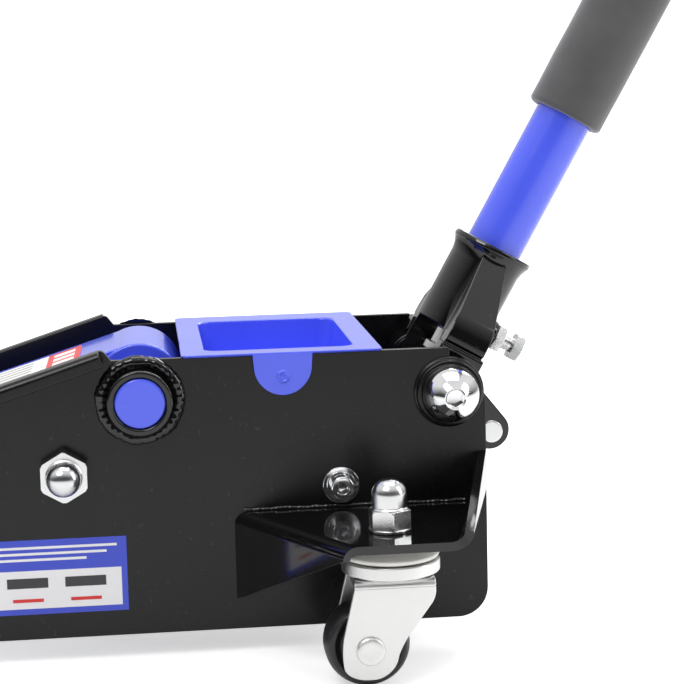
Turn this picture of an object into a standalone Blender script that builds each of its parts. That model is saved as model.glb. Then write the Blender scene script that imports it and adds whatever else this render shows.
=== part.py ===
# Low-profile hydraulic trolley jack, built as an assembly of separate parts.
# Metres, +Z up, ground at z = 0. +X is the handle end, -X the saddle end, Y = 0 the middle plane.
# Inside this file x is counted from the lift-arm shaft; one root empty then moves
# everything so that the world origin is under the middle of the whole jack.
import math

import bmesh
import bpy
from mathutils import Matrix, Vector

# ---------------------------------------------------------------- driving dimensions
GAP = 0.0003                     # air kept between pieces that touch
RUN = 0.0004                     # radial play of a pin or shaft in its hole
STEPS = 20                       # segments round a large turned part
SMALL_STEPS = 12                 # segments round a small one

FRAME_LENGTH = 0.735             # side plates, front to rear
FRAME_WIDTH = 0.165              # over the outer faces of the side plates
PLATE = 0.005                    # side plate thickness
PLATE_TOP = 0.1805               # top edge of the rear part of the plates
PLATE_BOTTOM = 0.0155            # ground clearance of the plates
NOSE_TOP = 0.075                 # top edge of the low front part of the plates
REAR_X = 0.205                   # rear edge of the plates
REAR_CORNER = 0.018
EAR_R, EAR_Z = 0.0255, 0.1461    # rounded ear at the handle pivot
NOTCH_X, NOTCH_Z = 0.1836, 0.1695
RAMP_X, RAMP_Z = -0.021, 0.187   # upper end of the sloping edge
RAMP_SLOPE = math.radians(17.4)
KINK_X = -0.016
LIP_WIDTH, LIP_DROP, LIP_WALL = 0.009, 0.0085, 0.0035

LIFT_Z = 0.1568                  # height of the lift-arm shaft, which stands at x = 0
ARM_LENGTH = 0.390               # lift shaft to saddle pin
ARM_REST = math.radians(14.8)    # how far the lowered arm slopes down to the front
ARM_HALF = 0.0393                # half width of the arm over its side walls
ARM_WALL = 0.006
HUB_R = 0.0275
HUB_OUT = 0.0027                 # hub past the side walls of the arm, each side
EYE_R = 0.012                    # arm eye round the saddle pin
SHAFT_R = 0.01475
BOSS_R, BOSS_OUT, WELD_R = 0.0192, 0.014, 0.0270

TIE_X, TIE_Z, TIE_R = -0.0456, 0.1146, 0.008   # tie rod, which also holds the radius rod
LEVER_R = 0.062                  # lift shaft to lever pin
LEVER_REST = math.radians(41)    # lever pin behind straight-down when lowered
LUG_R = 0.013
PIN_R = 0.008                    # lever pin and saddle pin
RAM_Z = 0.067                    # height of the ram's axis; clears the lever pin's lowest point
RAM_R, RAM_BORE, ROD_R = 0.019, 0.0145, 0.011
RAM_STROKE = 0.0672
RAM_SEAT = 0.014                 # ram cylinder inside the base
LINK_LENGTH = 0.075
LINK_WALL = 0.006
LINK_Y = 0.025                   # middle of a link plate from the middle plane
LINK_PLAY_ALONG, LINK_PLAY_ACROSS = 0.0086, 0.0136   # play at the crosshead pin
LINK_RIM, LINK_HALF = 0.005, 0.009       # metal round the slot; half height of the plate
CROSS_PIN_R = 0.006
SPRING_Y, SPRING_SHORT = 0.055, 0.004    # return springs: off the middle; short of the base

BASE_FRONT, BASE_REAR, BASE_TOP, BASE_BOTTOM = 0.104, 0.190, 0.126, 0.042
BASE_HALF = 0.034
SCREW_X, SCREW_Z, SCREW_R = 0.117, 0.1007, 0.004
TANK_R, TANK_FRONT = 0.029, 0.044
PLUG_X, PLUG_R = 0.124, 0.0045

PIVOT_X, PIVOT_Z = 0.1828, 0.154   # handle pivot
PIVOT_BOLT_R = 0.008
PIVOT_HEAD_R = 0.0162            # domed head, nearly as wide as the boss under it
PIVOT_BOSS_OUT = 0.010           # stepped boss on the plate, round the pivot
HANDLE_TILT = math.radians(60.5)   # handle above the horizontal
RIM_S = 0.0891                   # pivot to socket rim, along the handle
SOCKET_START = 0.030             # pivot to the lower end of the socket's tube
SOCKET_R, RIM_R = 0.0230, 0.0255
TUBE_R, TUBE_WALL = 0.0180, 0.0020
TUBE_START = 0.031               # pivot to the lower end of the tube
LOWER_LENGTH = 0.560
UPPER_START, UPPER_LENGTH = 0.510, 0.622
SLEEVE_START, SLEEVE_LENGTH, SLEEVE_R = 0.1819, 0.300, 0.0245
GRIP_LENGTH, GRIP_R = 0.140, 0.0190
BUTTON_S, BUTTON_R, BUTTON_OUT = 0.545, 0.004, 0.0035
GRIP_ROUND = 0.004
YOKE_HALF = 0.0660               # half width of the yoke over its cheeks
YOKE_CHEEK = 0.014
YOKE_DEPTH = 0.026
YOKE_BOSS_R = 0.0170
ROLLER_ARM = 0.0414              # handle pivot to pump roller
ROLLER_REST = math.radians(-45)
ROLLER_R, ROLLER_HALF, ROLLER_PIN_R, ROLLER_LUG_R = 0.013, 0.014, 0.007, 0.0105
SET_S, SET_R = 0.0388, 0.005     # set bolt, along the handle
SET_HEAD = 0.0400                # its head, from the handle's axis

PUMP_EXPOSED = 0.031             # plunger above its cylinder, at rest
PUMP_PLAY = 0.0010               # roller to plunger, at rest
PLUNGER_R, PUMP_R, PUMP_HEAD_R = 0.0075, 0.012, 0.011
VALVE_R, CROSS_HALF = 0.0055, 0.0052     # stem; half length of the joint's centre block

TRAY_X0, TRAY_X1, TRAY_WALL = 0.0248, 0.1434, 0.0015
TRAY_OVERHANG = 0.0043           # the tray's edge, out from the plates' outer faces
BASIN_X0, BASIN_X1, BASIN_HALF, BASIN_DEPTH = 0.0392, 0.1285, 0.0660, 0.030
TAB_HALF, TAB_DROP = 0.0165, 0.0240

WHEEL_R, WHEEL_WIDTH, AXLE_R = 0.032, 0.034, 0.008
WHEEL_GAP = 0.002                # side plate to front wheel
AXLE_X = -0.490
SADDLE_X, SADDLE_R, SADDLE_TOP, SPINDLE_R = -0.405, 0.045, 0.090, 0.010
SADDLE_DISC = 0.011
BRACKET_HALF = 0.026
RADIUS_ROD_HALF = 0.006
FOOT_PIN_R = 0.005               # radius rod to saddle bracket

LEDGE_Z, LEDGE = 0.0874, 0.005   # top and thickness of the caster bracket
LEDGE_Y = 0.181                  # its outer edge from the middle plane
LEDGE_IN = (0.053, REAR_X - 0.001)       # its ends along the plate
LEDGE_OUT = (0.107, 0.179)       # its ends at the outer edge
CASTER_X, CASTER_Y = 0.1375, 0.1474
CASTER_TRAIL = 0.0149
CASTER_R, CASTER_HALF = 0.0243, 0.0130
FORK_HALF, FORK_WALL = 0.0216, 0.003
RACE_R = 0.0279
STUD_R = 0.005

FRONT_X = REAR_X - FRAME_LENGTH
HANDLE_END = UPPER_START + UPPER_LENGTH
END_X = (PIVOT_X + (HANDLE_END - GRIP_ROUND) * math.cos(HANDLE_TILT)
         + GRIP_R * math.sin(HANDLE_TILT))
MIDDLE_X = (FRONT_X + END_X) / 2
OUT = FRAME_WIDTH / 2            # outer face of a side plate
TRAY_HALF = OUT + TRAY_OVERHANG
IN = OUT - PLATE

# ---------------------------------------------------------------- scene and helpers
for old in list(bpy.data.objects):
    bpy.data.objects.remove(old, do_unlink=True)

parts = bpy.data.collections.new("car_jack")
cutters = bpy.data.collections.new("cutters")
bpy.context.scene.collection.children.link(parts)
bpy.context.scene.collection.children.link(cutters)
root = bpy.data.objects.new("jack_root", None)
root.location = (-MIDDLE_X, 0, 0)
parts.objects.link(root)


def make_material(name, colour, roughness, metallic=0.0):
    material = bpy.data.materials.new(name)
    material.use_nodes = True
    shader = material.node_tree.nodes["Principled BSDF"]
    shader.inputs["Base Color"].default_value = (*colour, 1)
    shader.inputs["Roughness"].default_value = roughness
    shader.inputs["Metallic"].default_value = metallic
    material.diffuse_color = (*colour, 1)
    return material


BLACK = make_material("black_paint", (0.012, 0.012, 0.014), 0.3)
BLUE = make_material("blue_paint", (0.05, 0.09, 0.85), 0.25)
ZINC = make_material("zinc_plate", (0.75, 0.76, 0.78), 0.25, 1.0)
CHROME = make_material("chrome", (0.85, 0.85, 0.87), 0.08, 1.0)
STEEL = make_material("machined_steel", (0.55, 0.55, 0.56), 0.35, 1.0)
PLASTIC = make_material("black_plastic", (0.015, 0.015, 0.016), 0.45)
FOAM = make_material("black_foam", (0.02, 0.02, 0.02), 0.85)
CASTING = make_material("cast_body", (0.10, 0.10, 0.11), 0.6, 0.3)


def side_frame(x, z, y=0.0, angle=0.0):
    """Local X runs at this angle above +X, local Y is up from it, local Z is -Y."""
    return (Matrix.Translation((x, y, z)) @ Matrix.Rotation(-angle, 4, "Y")
            @ Matrix.Rotation(math.pi / 2, 4, "X"))


def axis_frame(point, direction):
    """Local Z runs along the direction."""
    turn = Vector(direction).to_track_quat("Z", "Y").to_matrix().to_4x4()
    return Matrix.Translation(point) @ turn


def arc(cx, cy, radius, start, end, count):
    """Points round an arc, from one angle in degrees to the other."""
    angles = [math.radians(start + (end - start) * i / count) for i in range(count + 1)]
    return [(cx + radius * math.cos(a), cy + radius * math.sin(a)) for a in angles]


def circle(cx, cy, radius, count=STEPS):
    return arc(cx, cy, radius, 0, 360, count)[:-1]


def rounded(corners, count=3):
    """Outline through corners (x, y, radius), each corner turned into an arc."""
    points = []
    for i, (x, y, radius) in enumerate(corners):
        here = Vector((x, y))
        before = (Vector(corners[i - 1][:2]) - here).normalized()
        after = (Vector(corners[(i + 1) % len(corners)][:2]) - here).normalized()
        if radius <= 0:
            points.append((x, y))
            continue
        half = before.angle(after) / 2
        centre = here + (before + after).normalized() * radius / math.sin(half)
        first = here + before * radius / math.tan(half) - centre
        last = here + after * radius / math.tan(half) - centre
        turn = first.angle_signed(last)
        for step in range(count + 1):
            spoke = first.copy()
            spoke.rotate(Matrix.Rotation(-turn * step / count, 2))
            points.append(tuple(centre + spoke))
    return points


def place(name, mesh, frame, material, smooth=True):
    """Put a finished mesh into the assembly as one named part."""
    mesh.name = name
    part = bpy.data.objects.new(name, mesh)
    part.parent = root
    part.matrix_local = frame
    if material:
        mesh.materials.clear()
        mesh.materials.append(material)
        parts.objects.link(part)
    else:
        part.hide_render = True
        part.display_type = "WIRE"
        cutters.objects.link(part)
    if smooth:
        mesh.shade_smooth()
        mesh.set_sharp_from_angle(angle=math.radians(35))
    return part


def slab(name, outline, thickness, frame, material=None, holes=()):
    """A flat outline with holes, given its thickness both ways from the frame's plane."""
    curve = bpy.data.curves.new(name, "CURVE")
    curve.dimensions = "2D"
    curve.fill_mode = "BOTH"
    curve.extrude = thickness / 2
    for loop in (outline, *holes):
        spline = curve.splines.new("POLY")
        spline.points.add(len(loop) - 1)
        spline.use_cyclic_u = True
        for point, (x, y) in zip(spline.points, loop):
            point.co = (x, y, 0, 1)
    guide = bpy.data.objects.new(name + "_outline", curve)
    cutters.objects.link(guide)
    bpy.context.view_layer.update()
    evaluated = guide.evaluated_get(bpy.context.evaluated_depsgraph_get())
    mesh = bpy.data.meshes.new_from_object(evaluated)
    bpy.data.objects.remove(guide, do_unlink=True)
    weld = bmesh.new()
    weld.from_mesh(mesh)
    bmesh.ops.remove_doubles(weld, verts=weld.verts, dist=0.000002)
    bmesh.ops.recalc_face_normals(weld, faces=weld.faces)
    weld.to_mesh(mesh)
    weld.free()
    return place(name, mesh, frame, material)


def turned(name, profile, frame, material=None, ring=False, steps=STEPS):
    """A profile of (radius, height) points, outer side top to bottom, turned about local Z."""
    mesh = bpy.data.meshes.new(name)
    edges = [(i, i + 1) for i in range(len(profile) - 1)]
    if ring:
        edges.append((len(profile) - 1, 0))
    mesh.from_pydata([(radius, 0, height) for radius, height in profile], edges, [])
    part = place(name, mesh, frame, material, smooth=False)
    screw = part.modifiers.new("turn", "SCREW")
    screw.steps = screw.render_steps = steps
    screw.use_merge_vertices = True
    screw.merge_threshold = 0.000005
    screw.use_smooth_shade = True
    return part


def rod(name, radius, start, end, material=None, chamfer=0.0, steps=SMALL_STEPS):
    """A round bar between two points."""
    start, end = Vector(start), Vector(end)
    long = (end - start).length
    profile = [(0, long), (radius, long), (radius, 0), (0, 0)]
    if chamfer:
        profile = [(0, long), (radius - chamfer, long), (radius, long - chamfer),
                   (radius, chamfer), (radius - chamfer, 0), (0, 0)]
    return turned(name, profile, axis_frame(start, end - start), material, steps=steps)


def tube(name, outer, inner, start, end, material=None, chamfer=0.0, steps=STEPS):
    """A round tube between two points."""
    start, end = Vector(start), Vector(end)
    long = (end - start).length
    profile = [(outer - chamfer, long), (outer, long - chamfer), (outer, chamfer),
               (outer - chamfer, 0), (inner, 0), (inner, long)]
    if not chamfer:
        profile = [(outer, long), (outer, 0), (inner, 0), (inner, long)]
    return turned(name, profile, axis_frame(start, end - start), material, True, steps)


def combine(target, tool, operation):
    boolean = target.modifiers.new(operation.lower(), "BOOLEAN")
    boolean.operation = operation
    boolean.object = tool
    return target


def solve_manifold(part):
    """Change a part's Booleans to the manifold solver, where the exact one leaves gaps."""
    for modifier in part.modifiers:
        if modifier.type == "BOOLEAN":
            modifier.solver = "MANIFOLD"


def fuse(target, *tools):
    for tool in tools:
        combine(target, tool, "UNION")
    return target


def cut(target, *tools):
    for tool in tools:
        combine(target, tool, "DIFFERENCE")
    return target


def hexagon(flats, turn=0.0):
    corner = flats / 2 / math.cos(math.pi / 6)
    return [(corner * math.cos(turn + math.pi / 3 * i), corner * math.sin(turn + math.pi / 3 * i))
            for i in range(6)]


def helix(radius, length, turns, per_turn=6):
    """Points along a coil about local Z."""
    count = int(turns * per_turn)
    points = []
    for i in range(count + 1):
        a = 2 * math.pi * i / per_turn
        points.append((radius * math.cos(a), radius * math.sin(a), length * i / count))
    return points


def coil(name, radius, wire, length, turns, frame, material):
    """A wire spring with its axis on local Z."""
    curve = bpy.data.curves.new(name, "CURVE")
    curve.dimensions = "3D"
    curve.bevel_depth = wire
    curve.bevel_resolution = 1
    curve.use_fill_caps = True
    spline = curve.splines.new("POLY")
    points = helix(radius, length, turns)
    spline.points.add(len(points) - 1)
    for point, co in zip(spline.points, points):
        point.co = (*co, 1)
    curve.materials.append(material)
    part = bpy.data.objects.new(name, curve)
    part.parent = root
    part.matrix_local = frame
    parts.objects.link(part)
    return part


def on_ray(origin, angle, distance, y=0.0):
    """A point at this distance from (x, z) along an angle above +X."""
    return Vector((origin[0] + distance * math.cos(angle), y,
                   origin[1] + distance * math.sin(angle)))


# ---------------------------------------------------------------- worked-out places
LIFT = (0.0, LIFT_Z)
PIVOT = (PIVOT_X, PIVOT_Z)
ARM_ANGLE = math.pi + ARM_REST           # direction of the lowered arm, from +X
SADDLE_PIN = on_ray(LIFT, ARM_ANGLE, ARM_LENGTH)
ROD_OFFSET = Vector((TIE_X, 0, TIE_Z - LIFT_Z))       # lift shaft to tie rod
FOOT_PIN = SADDLE_PIN + ROD_OFFSET       # parallelogram: the same step at the front
LEVER_PIN = on_ray(LIFT, LEVER_REST - math.pi / 2, LEVER_R)
LINK_REST = math.asin((LEVER_PIN.z - RAM_Z) / LINK_LENGTH)
CROSS_PIN = on_ray((LEVER_PIN.x, LEVER_PIN.z), math.pi + LINK_REST, LINK_LENGTH)
ROLLER = on_ray(PIVOT, ROLLER_REST, ROLLER_ARM)
STROKE_ANGLE = ROLLER_REST - math.pi / 2              # the way the roller pushes
PLUNGER_TOP = on_ray((ROLLER.x, ROLLER.z), STROKE_ANGLE, ROLLER_R + PUMP_PLAY)
PUMP_TOP = on_ray((PLUNGER_TOP.x, PLUNGER_TOP.z), STROKE_ANGLE, PUMP_EXPOSED)
PUMP_FACE = on_ray((PUMP_TOP.x, PUMP_TOP.z), STROKE_ANGLE, 0.008)
SLANT = PUMP_FACE.x + PUMP_FACE.z                     # x + z on the slanting face of the base
VALVE_FACE = Vector(((SLANT + PIVOT_X - PIVOT_Z) / 2, 0, (SLANT - PIVOT_X + PIVOT_Z) / 2))


def along_handle(distance, y=0.0, behind=0.0):
    """A point up the handle from its pivot, moved off its axis to the rear."""
    side = on_ray((0, 0), HANDLE_TILT - math.pi / 2, behind)
    return on_ray(PIVOT, HANDLE_TILT, distance, y) + side


# ---------------------------------------------------------------- frame
def ramp_end_x():
    return RAMP_X - (RAMP_Z - NOSE_TOP) / math.tan(RAMP_SLOPE)


def side_plate(name, side):
    """Side plate with its rounded ear, sloping front edge, turned-out lip and pivot boss."""
    ear_start = math.degrees(math.asin((NOTCH_Z - EAR_Z) / EAR_R))
    ear = [(x, z, 0) for x, z in arc(REAR_X - EAR_R, EAR_Z, EAR_R, 0, ear_start, 8)]
    outline = rounded([(REAR_X, PLATE_BOTTOM, REAR_CORNER)] + ear + [
        (NOTCH_X, NOTCH_Z + 0.001, 0), (NOTCH_X, PLATE_TOP, 0.001),
        (KINK_X, PLATE_TOP, 0), (RAMP_X, RAMP_Z, 0.002),
        (ramp_end_x(), NOSE_TOP, 0.040), (FRONT_X, NOSE_TOP, 0.028),
        (FRONT_X, PLATE_BOTTOM, 0.016)])
    holes = [circle(0, LIFT_Z, SHAFT_R + RUN), circle(*PIVOT, PIVOT_BOLT_R + RUN, SMALL_STEPS),
             circle(TIE_X, TIE_Z, TIE_R + RUN, SMALL_STEPS),
             circle(SCREW_X, SCREW_Z, SCREW_R + RUN, SMALL_STEPS),
             circle(AXLE_X, WHEEL_R, AXLE_R + RUN, SMALL_STEPS)]
    middle = side * (OUT - PLATE / 2)
    plate = slab(name, outline, PLATE, side_frame(0, 0, middle), BLACK, holes)
    slope = Vector((-math.cos(RAMP_SLOPE), 0, -math.sin(RAMP_SLOPE)))
    length = (RAMP_X - ramp_end_x()) / math.cos(RAMP_SLOPE)
    lip_outline = rounded([(-PLATE / 2, 0.0004, 0), (LIP_WIDTH, 0.0004, 0.003),
                           (LIP_WIDTH, -LIP_DROP, 0.001), (LIP_WIDTH - LIP_WALL, -LIP_DROP, 0.001),
                           (LIP_WIDTH - LIP_WALL, -LIP_WALL, 0.001), (-PLATE / 2, -LIP_WALL, 0)], 3)
    lip_outline = [(side * y, z) for y, z in lip_outline]
    up = Vector((-math.sin(RAMP_SLOPE), 0, math.cos(RAMP_SLOPE)))
    start = Vector((RAMP_X, side * OUT, RAMP_Z)) + slope * (length / 2 + 0.0005)
    turn = Matrix((Vector((0, 1, 0)), up, Vector((0, 1, 0)).cross(up))).transposed().to_4x4()
    lip = slab(name + "_lip", lip_outline, length - 0.004, Matrix.Translation(start) @ turn)
    face = Vector((PIVOT_X, side * (OUT - 0.001), PIVOT_Z))
    out = PIVOT_BOSS_OUT + 0.001
    boss = turned(name + "_boss", [
        (0.0150, out), (0.0165, out - 0.0015), (0.0165, out - 0.004), (0.0185, out - 0.005),
        (0.0185, 0.0025), (0.0200, 0.0015), (0.0200, 0), (PIVOT_BOLT_R + 0.0018, 0),
        (PIVOT_BOLT_R + 0.0018, out)], axis_frame(face, (0, side, 0)), ring=True)
    return fuse(plate, lip, boss)


def caster_bracket(name, side):
    """Bent plate welded to the side plate: a ledge, a drooping front and a raised rear flange."""
    wall = side * (OUT + GAP)
    outer = side * LEDGE_Y
    ledge = rounded([(LEDGE_IN[0], wall, 0), (LEDGE_IN[1], wall, 0), (LEDGE_OUT[1], outer, 0.006),
                     (LEDGE_OUT[0], outer, 0.006)])
    bracket = slab(name, ledge, LEDGE, Matrix.Translation((0, 0, LEDGE_Z - LEDGE / 2)), BLACK,
                   [circle(CASTER_X, side * CASTER_Y, STUD_R + RUN, SMALL_STEPS)])
    # each flange is as thick as the ledge and bends off one of its slanting edges
    for label, inner_x, outer_x, low, heights, inward in (
            ("front", LEDGE_IN[0], LEDGE_OUT[0], -0.0001, (-0.053, -0.006), 1),
            ("rear", LEDGE_IN[1], LEDGE_OUT[1], -LEDGE, (0.030, 0.003), -1)):
        run = Vector((outer_x - inner_x, outer - wall, 0))
        long = run.length - 0.004
        run.normalize()
        back = -0.006                # runs into the plate, and is trimmed to its face below
        fall = (heights[1] - heights[0]) / long
        face = [(back, low), (long, low), (long, heights[1]), (back, heights[0] + fall * back)]
        turn = Matrix((run, Vector((0, 0, 1)), run.cross(Vector((0, 0, 1))))).transposed().to_4x4()
        shift = Vector((abs(run.y), run.x * side, 0)) * inward * (LEDGE / 2 - 0.0001)
        shift.y = -side * abs(run.x) * LEDGE / 2
        base = Vector((inner_x, wall, LEDGE_Z - 0.0001)) + shift
        fuse(bracket, slab(f"{name}_{label}", face, LEDGE, Matrix.Translation(base) @ turn))
    trim = slab(name + "_trim", rounded([(0, 0, 0), (0.3, 0, 0), (0.3, wall, 0), (0, wall, 0)]), 0.3,
                Matrix.Translation((0, 0, LEDGE_Z)))
    cut(bracket, trim)
    return bracket


def lift_boss(name, side):
    """Welded bearing ring for the lift shaft, with its weld bead."""
    top = BOSS_OUT - GAP
    return turned(name, [(BOSS_R - 0.001, top), (BOSS_R, top - 0.001), (BOSS_R, 0.006),
                         (WELD_R - 0.004, 0.0045), (WELD_R - 0.001, 0.0025), (WELD_R, 0),
                         (SHAFT_R + RUN, 0), (SHAFT_R + RUN, top)],
                  axis_frame((0, side * (OUT + GAP), LIFT_Z), (0, side, 0)), BLACK, ring=True)


def cap_nut(name, point, direction, flats, hex_height, dome_r, height, bore_r, bore, washer=0.0):
    """Domed nut with a blind hole and, if asked, a washer under it."""
    frame = axis_frame(point, direction)
    middle = frame @ Matrix.Translation((0, 0, washer + hex_height / 2))
    nut = slab(name, hexagon(flats, math.pi / 6), hex_height, middle, ZINC)
    low = washer + hex_height - 0.001
    top = height - low
    profile = [(dome_r * math.sin(math.radians(a)), low + top * math.cos(math.radians(a)))
               for a in range(0, 91, 18)]
    profile[-1] = (dome_r, low + 0.001)
    dome = turned(name + "_dome", [(0, height)] + profile[1:] + [(dome_r, low), (0, low)], frame,
                  steps=SMALL_STEPS)
    fuse(nut, dome)
    if washer:
        disc = [(0, washer + 0.0001), (flats / 2 + 0.0012, washer + 0.0001),
                (flats / 2 + 0.0012, 0), (0, 0)]
        fuse(nut, turned(name + "_washer", disc, frame, steps=SMALL_STEPS))
    hole = [(0, bore), (bore_r, bore), (bore_r, -0.002), (0, -0.002)]
    return cut(nut, turned(name + "_bore", hole, frame, steps=SMALL_STEPS))


def build_frame():
    for label, side in (("left", -1), ("right", 1)):
        side_plate("side_plate_" + label, side)
        caster_bracket("caster_bracket_" + label, side)
        lift_boss("lift_boss_" + label, side)
        cap_nut("tie_rod_nut_" + label, (TIE_X, side * (OUT + GAP), TIE_Z), (0, side, 0),
                0.027, 0.011, 0.0102, 0.0255, TIE_R + RUN, 0.0135)
        clip_in = OUT + WHEEL_GAP + WHEEL_WIDTH + GAP
        tube("axle_clip_" + label, 0.0125, AXLE_R + RUN, (AXLE_X, side * clip_in, WHEEL_R),
             (AXLE_X, side * (clip_in + 0.003), WHEEL_R), ZINC)
    end = OUT + 0.012
    rod("tie_rod", TIE_R, (TIE_X, -end, TIE_Z), (TIE_X, end, TIE_Z), ZINC, 0.001)
    end = OUT + WHEEL_GAP + WHEEL_WIDTH + 0.006
    rod("front_axle", AXLE_R, (AXLE_X, -end, WHEEL_R), (AXLE_X, end, WHEEL_R), STEEL, 0.001)


def tray():
    """Pressed tray laid over both plates, with a basin and a tab hooked over each side."""
    bottom = PLATE_TOP + GAP
    middle = Matrix.Translation((0, 0, bottom + TRAY_WALL / 2))
    flange = rounded([(TRAY_X0, -TRAY_HALF, 0.005), (TRAY_X1, -TRAY_HALF, 0.005),
                      (TRAY_X1, TRAY_HALF, 0.005), (TRAY_X0, TRAY_HALF, 0.005)])
    pan = slab("tray", flange, TRAY_WALL, middle, BLUE)

    def well(name, grow, top, floor):
        box = rounded([(BASIN_X0 - grow, -BASIN_HALF - grow, 0.009 + grow),
                       (BASIN_X1 + grow, -BASIN_HALF - grow, 0.009 + grow),
                       (BASIN_X1 + grow, BASIN_HALF + grow, 0.009 + grow),
                       (BASIN_X0 - grow, BASIN_HALF + grow, 0.009 + grow)])
        return slab(name, box, top - floor, Matrix.Translation((0, 0, (top + floor) / 2)))

    floor = bottom - BASIN_DEPTH
    fuse(pan, well("tray_well", TRAY_WALL, bottom + TRAY_WALL / 2, floor - TRAY_WALL))
    middle_x = (TRAY_X0 + TRAY_X1) / 2
    for side in (-1, 1):
        drop = -TAB_DROP + TAB_HALF
        half = [(TAB_HALF, TRAY_WALL / 2), (-TAB_HALF, TRAY_WALL / 2)]
        tab = half + arc(0, drop, TAB_HALF, 180, 360, 12)
        frame = side_frame(middle_x, bottom, side * (TRAY_HALF - TRAY_WALL / 2 - 0.0001))
        fuse(pan, slab(f"tray_tab{side}", tab, TRAY_WALL, frame))
    return cut(pan, well("tray_hollow", 0, bottom + 0.01, floor))


# ---------------------------------------------------------------- lift arm and linkage
def arm_frame(y=0.0):
    """Local X from the lift shaft to the saddle pin, local Y up from it, local Z along +Y."""
    x_axis = Vector((-math.cos(ARM_REST), 0, -math.sin(ARM_REST)))
    y_axis = Vector((-math.sin(ARM_REST), 0, math.cos(ARM_REST)))
    turn = Matrix((x_axis, y_axis, x_axis.cross(y_axis))).transposed().to_4x4()
    return Matrix.Translation((0, y, LIFT_Z)) @ turn


def lift_arm():
    """Channel with two side walls, a top plate, a hub and the lever lugs under the hub."""
    into = arm_frame().inverted()
    lug = into @ LEVER_PIN
    top = HUB_R - 0.001
    low_start, reach = -0.018, LEVER_R - TIE_R - 0.0020   # stays inside the tie rod's path
    wall = ([(ARM_LENGTH, EYE_R)] + arc(0, 0, top, 88, 170, 5)
            + arc(lug.x, lug.y, LUG_R, 170, 395, 8)
            + [(0.002, -reach + 0.010), (0.022, -reach + 0.018),
               (0.046, low_start), (ARM_LENGTH - 0.03, -EYE_R)]
            + arc(ARM_LENGTH, 0, EYE_R, -90, 80, 6))
    holes = [circle(lug.x, lug.y, PIN_R + RUN, SMALL_STEPS),
             circle(ARM_LENGTH, 0, PIN_R + RUN, SMALL_STEPS)]
    middle = ARM_HALF - 0.0003 - ARM_WALL / 2
    arm = slab("lift_arm", wall, ARM_WALL, arm_frame(-middle), BLUE, holes)
    fuse(arm, slab("lift_arm_wall", wall, ARM_WALL, arm_frame(middle), None, holes))
    end = ARM_LENGTH - 0.040
    fall = (HUB_R - EYE_R) / ARM_LENGTH
    web = [(0, HUB_R), (0, HUB_R - 0.006), (end, HUB_R - 0.006 - fall * end),
           (end, HUB_R + 0.0002 - fall * end)]
    fuse(arm, slab("lift_arm_web", web, 2 * ARM_HALF, arm_frame()))
    half = ARM_HALF + HUB_OUT
    fuse(arm, rod("lift_arm_hub", HUB_R, (0, -half, LIFT_Z), (0, half, LIFT_Z), steps=STEPS))
    return cut(arm, rod("lift_arm_bore", SHAFT_R + RUN, (0, -0.1, LIFT_Z), (0, 0.1, LIFT_Z),
                        steps=STEPS))


def cross_rod(name, radius, centre, half, material, chamfer=0.0008):
    """A pin across the jack, centred on the middle plane."""
    centre = Vector(centre)
    reach = Vector((0, half, 0))
    return rod(name, radius, centre - reach, centre + reach, material, chamfer)


def saddle_bracket():
    """Block that carries the saddle, between the saddle pin and the radius rod's pin."""
    x0, x1 = SADDLE_X - 0.022, SADDLE_PIN.x + 0.006
    deck = SADDLE_TOP - SADDLE_DISC - GAP
    under = SADDLE_PIN.z - EYE_R - 0.003
    block = rounded([(x0, under, 0.004), (x1, under, 0.004), (x1, deck, 0.005), (x0, deck, 0.005)])
    bracket = slab("saddle_bracket", block, 2 * BRACKET_HALF, side_frame(0, 0), BLACK)
    fuse(bracket, cross_rod("saddle_bracket_barrel", EYE_R + 0.0005, SADDLE_PIN,
                            ARM_HALF - ARM_WALL - 0.0010, None, 0))
    cheek_in = RADIUS_ROD_HALF + 0.001
    cheek = 0.0085
    foot = FOOT_PIN_R + 0.0040
    x_foot, z_foot = FOOT_PIN.x, FOOT_PIN.z
    shape = ([(x1 - 0.012, deck - 0.008), (x0 + 0.001, deck - 0.008)]
             + arc(x_foot, z_foot, foot, 180, 350, 8) + [(x1 - 0.012, under + 0.001)])
    for side in (-1, 1):
        frame = side_frame(0, 0, side * (cheek_in + cheek / 2))
        fuse(bracket, slab(f"saddle_bracket_cheek{side}", shape, cheek, frame))
    cut(bracket, cross_rod("saddle_pin_hole", PIN_R + RUN, SADDLE_PIN, 0.06, None, 0),
        cross_rod("foot_pin_hole", FOOT_PIN_R + RUN, FOOT_PIN, 0.03, None, 0),
        rod("spindle_hole", SPINDLE_R + RUN, (SADDLE_X, 0, under - 0.01),
            (SADDLE_X, 0, deck + 0.01), steps=SMALL_STEPS))
    return bracket


def saddle():
    """Round saddle with a raised rim and a spindle that drops into the bracket."""
    top, low = SADDLE_TOP, SADDLE_TOP - SADDLE_DISC
    tip = SADDLE_PIN.z - EYE_R + 0.001
    profile = [(0, top - 0.006), (SADDLE_R - 0.010, top - 0.006), (SADDLE_R - 0.008, top),
               (SADDLE_R - 0.002, top), (SADDLE_R, top - 0.003), (SADDLE_R - 0.004, low),
               (SPINDLE_R, low), (SPINDLE_R, tip), (0, tip)]
    turned("saddle", profile, Matrix.Translation((SADDLE_X, 0, 0)), BLACK)


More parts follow.
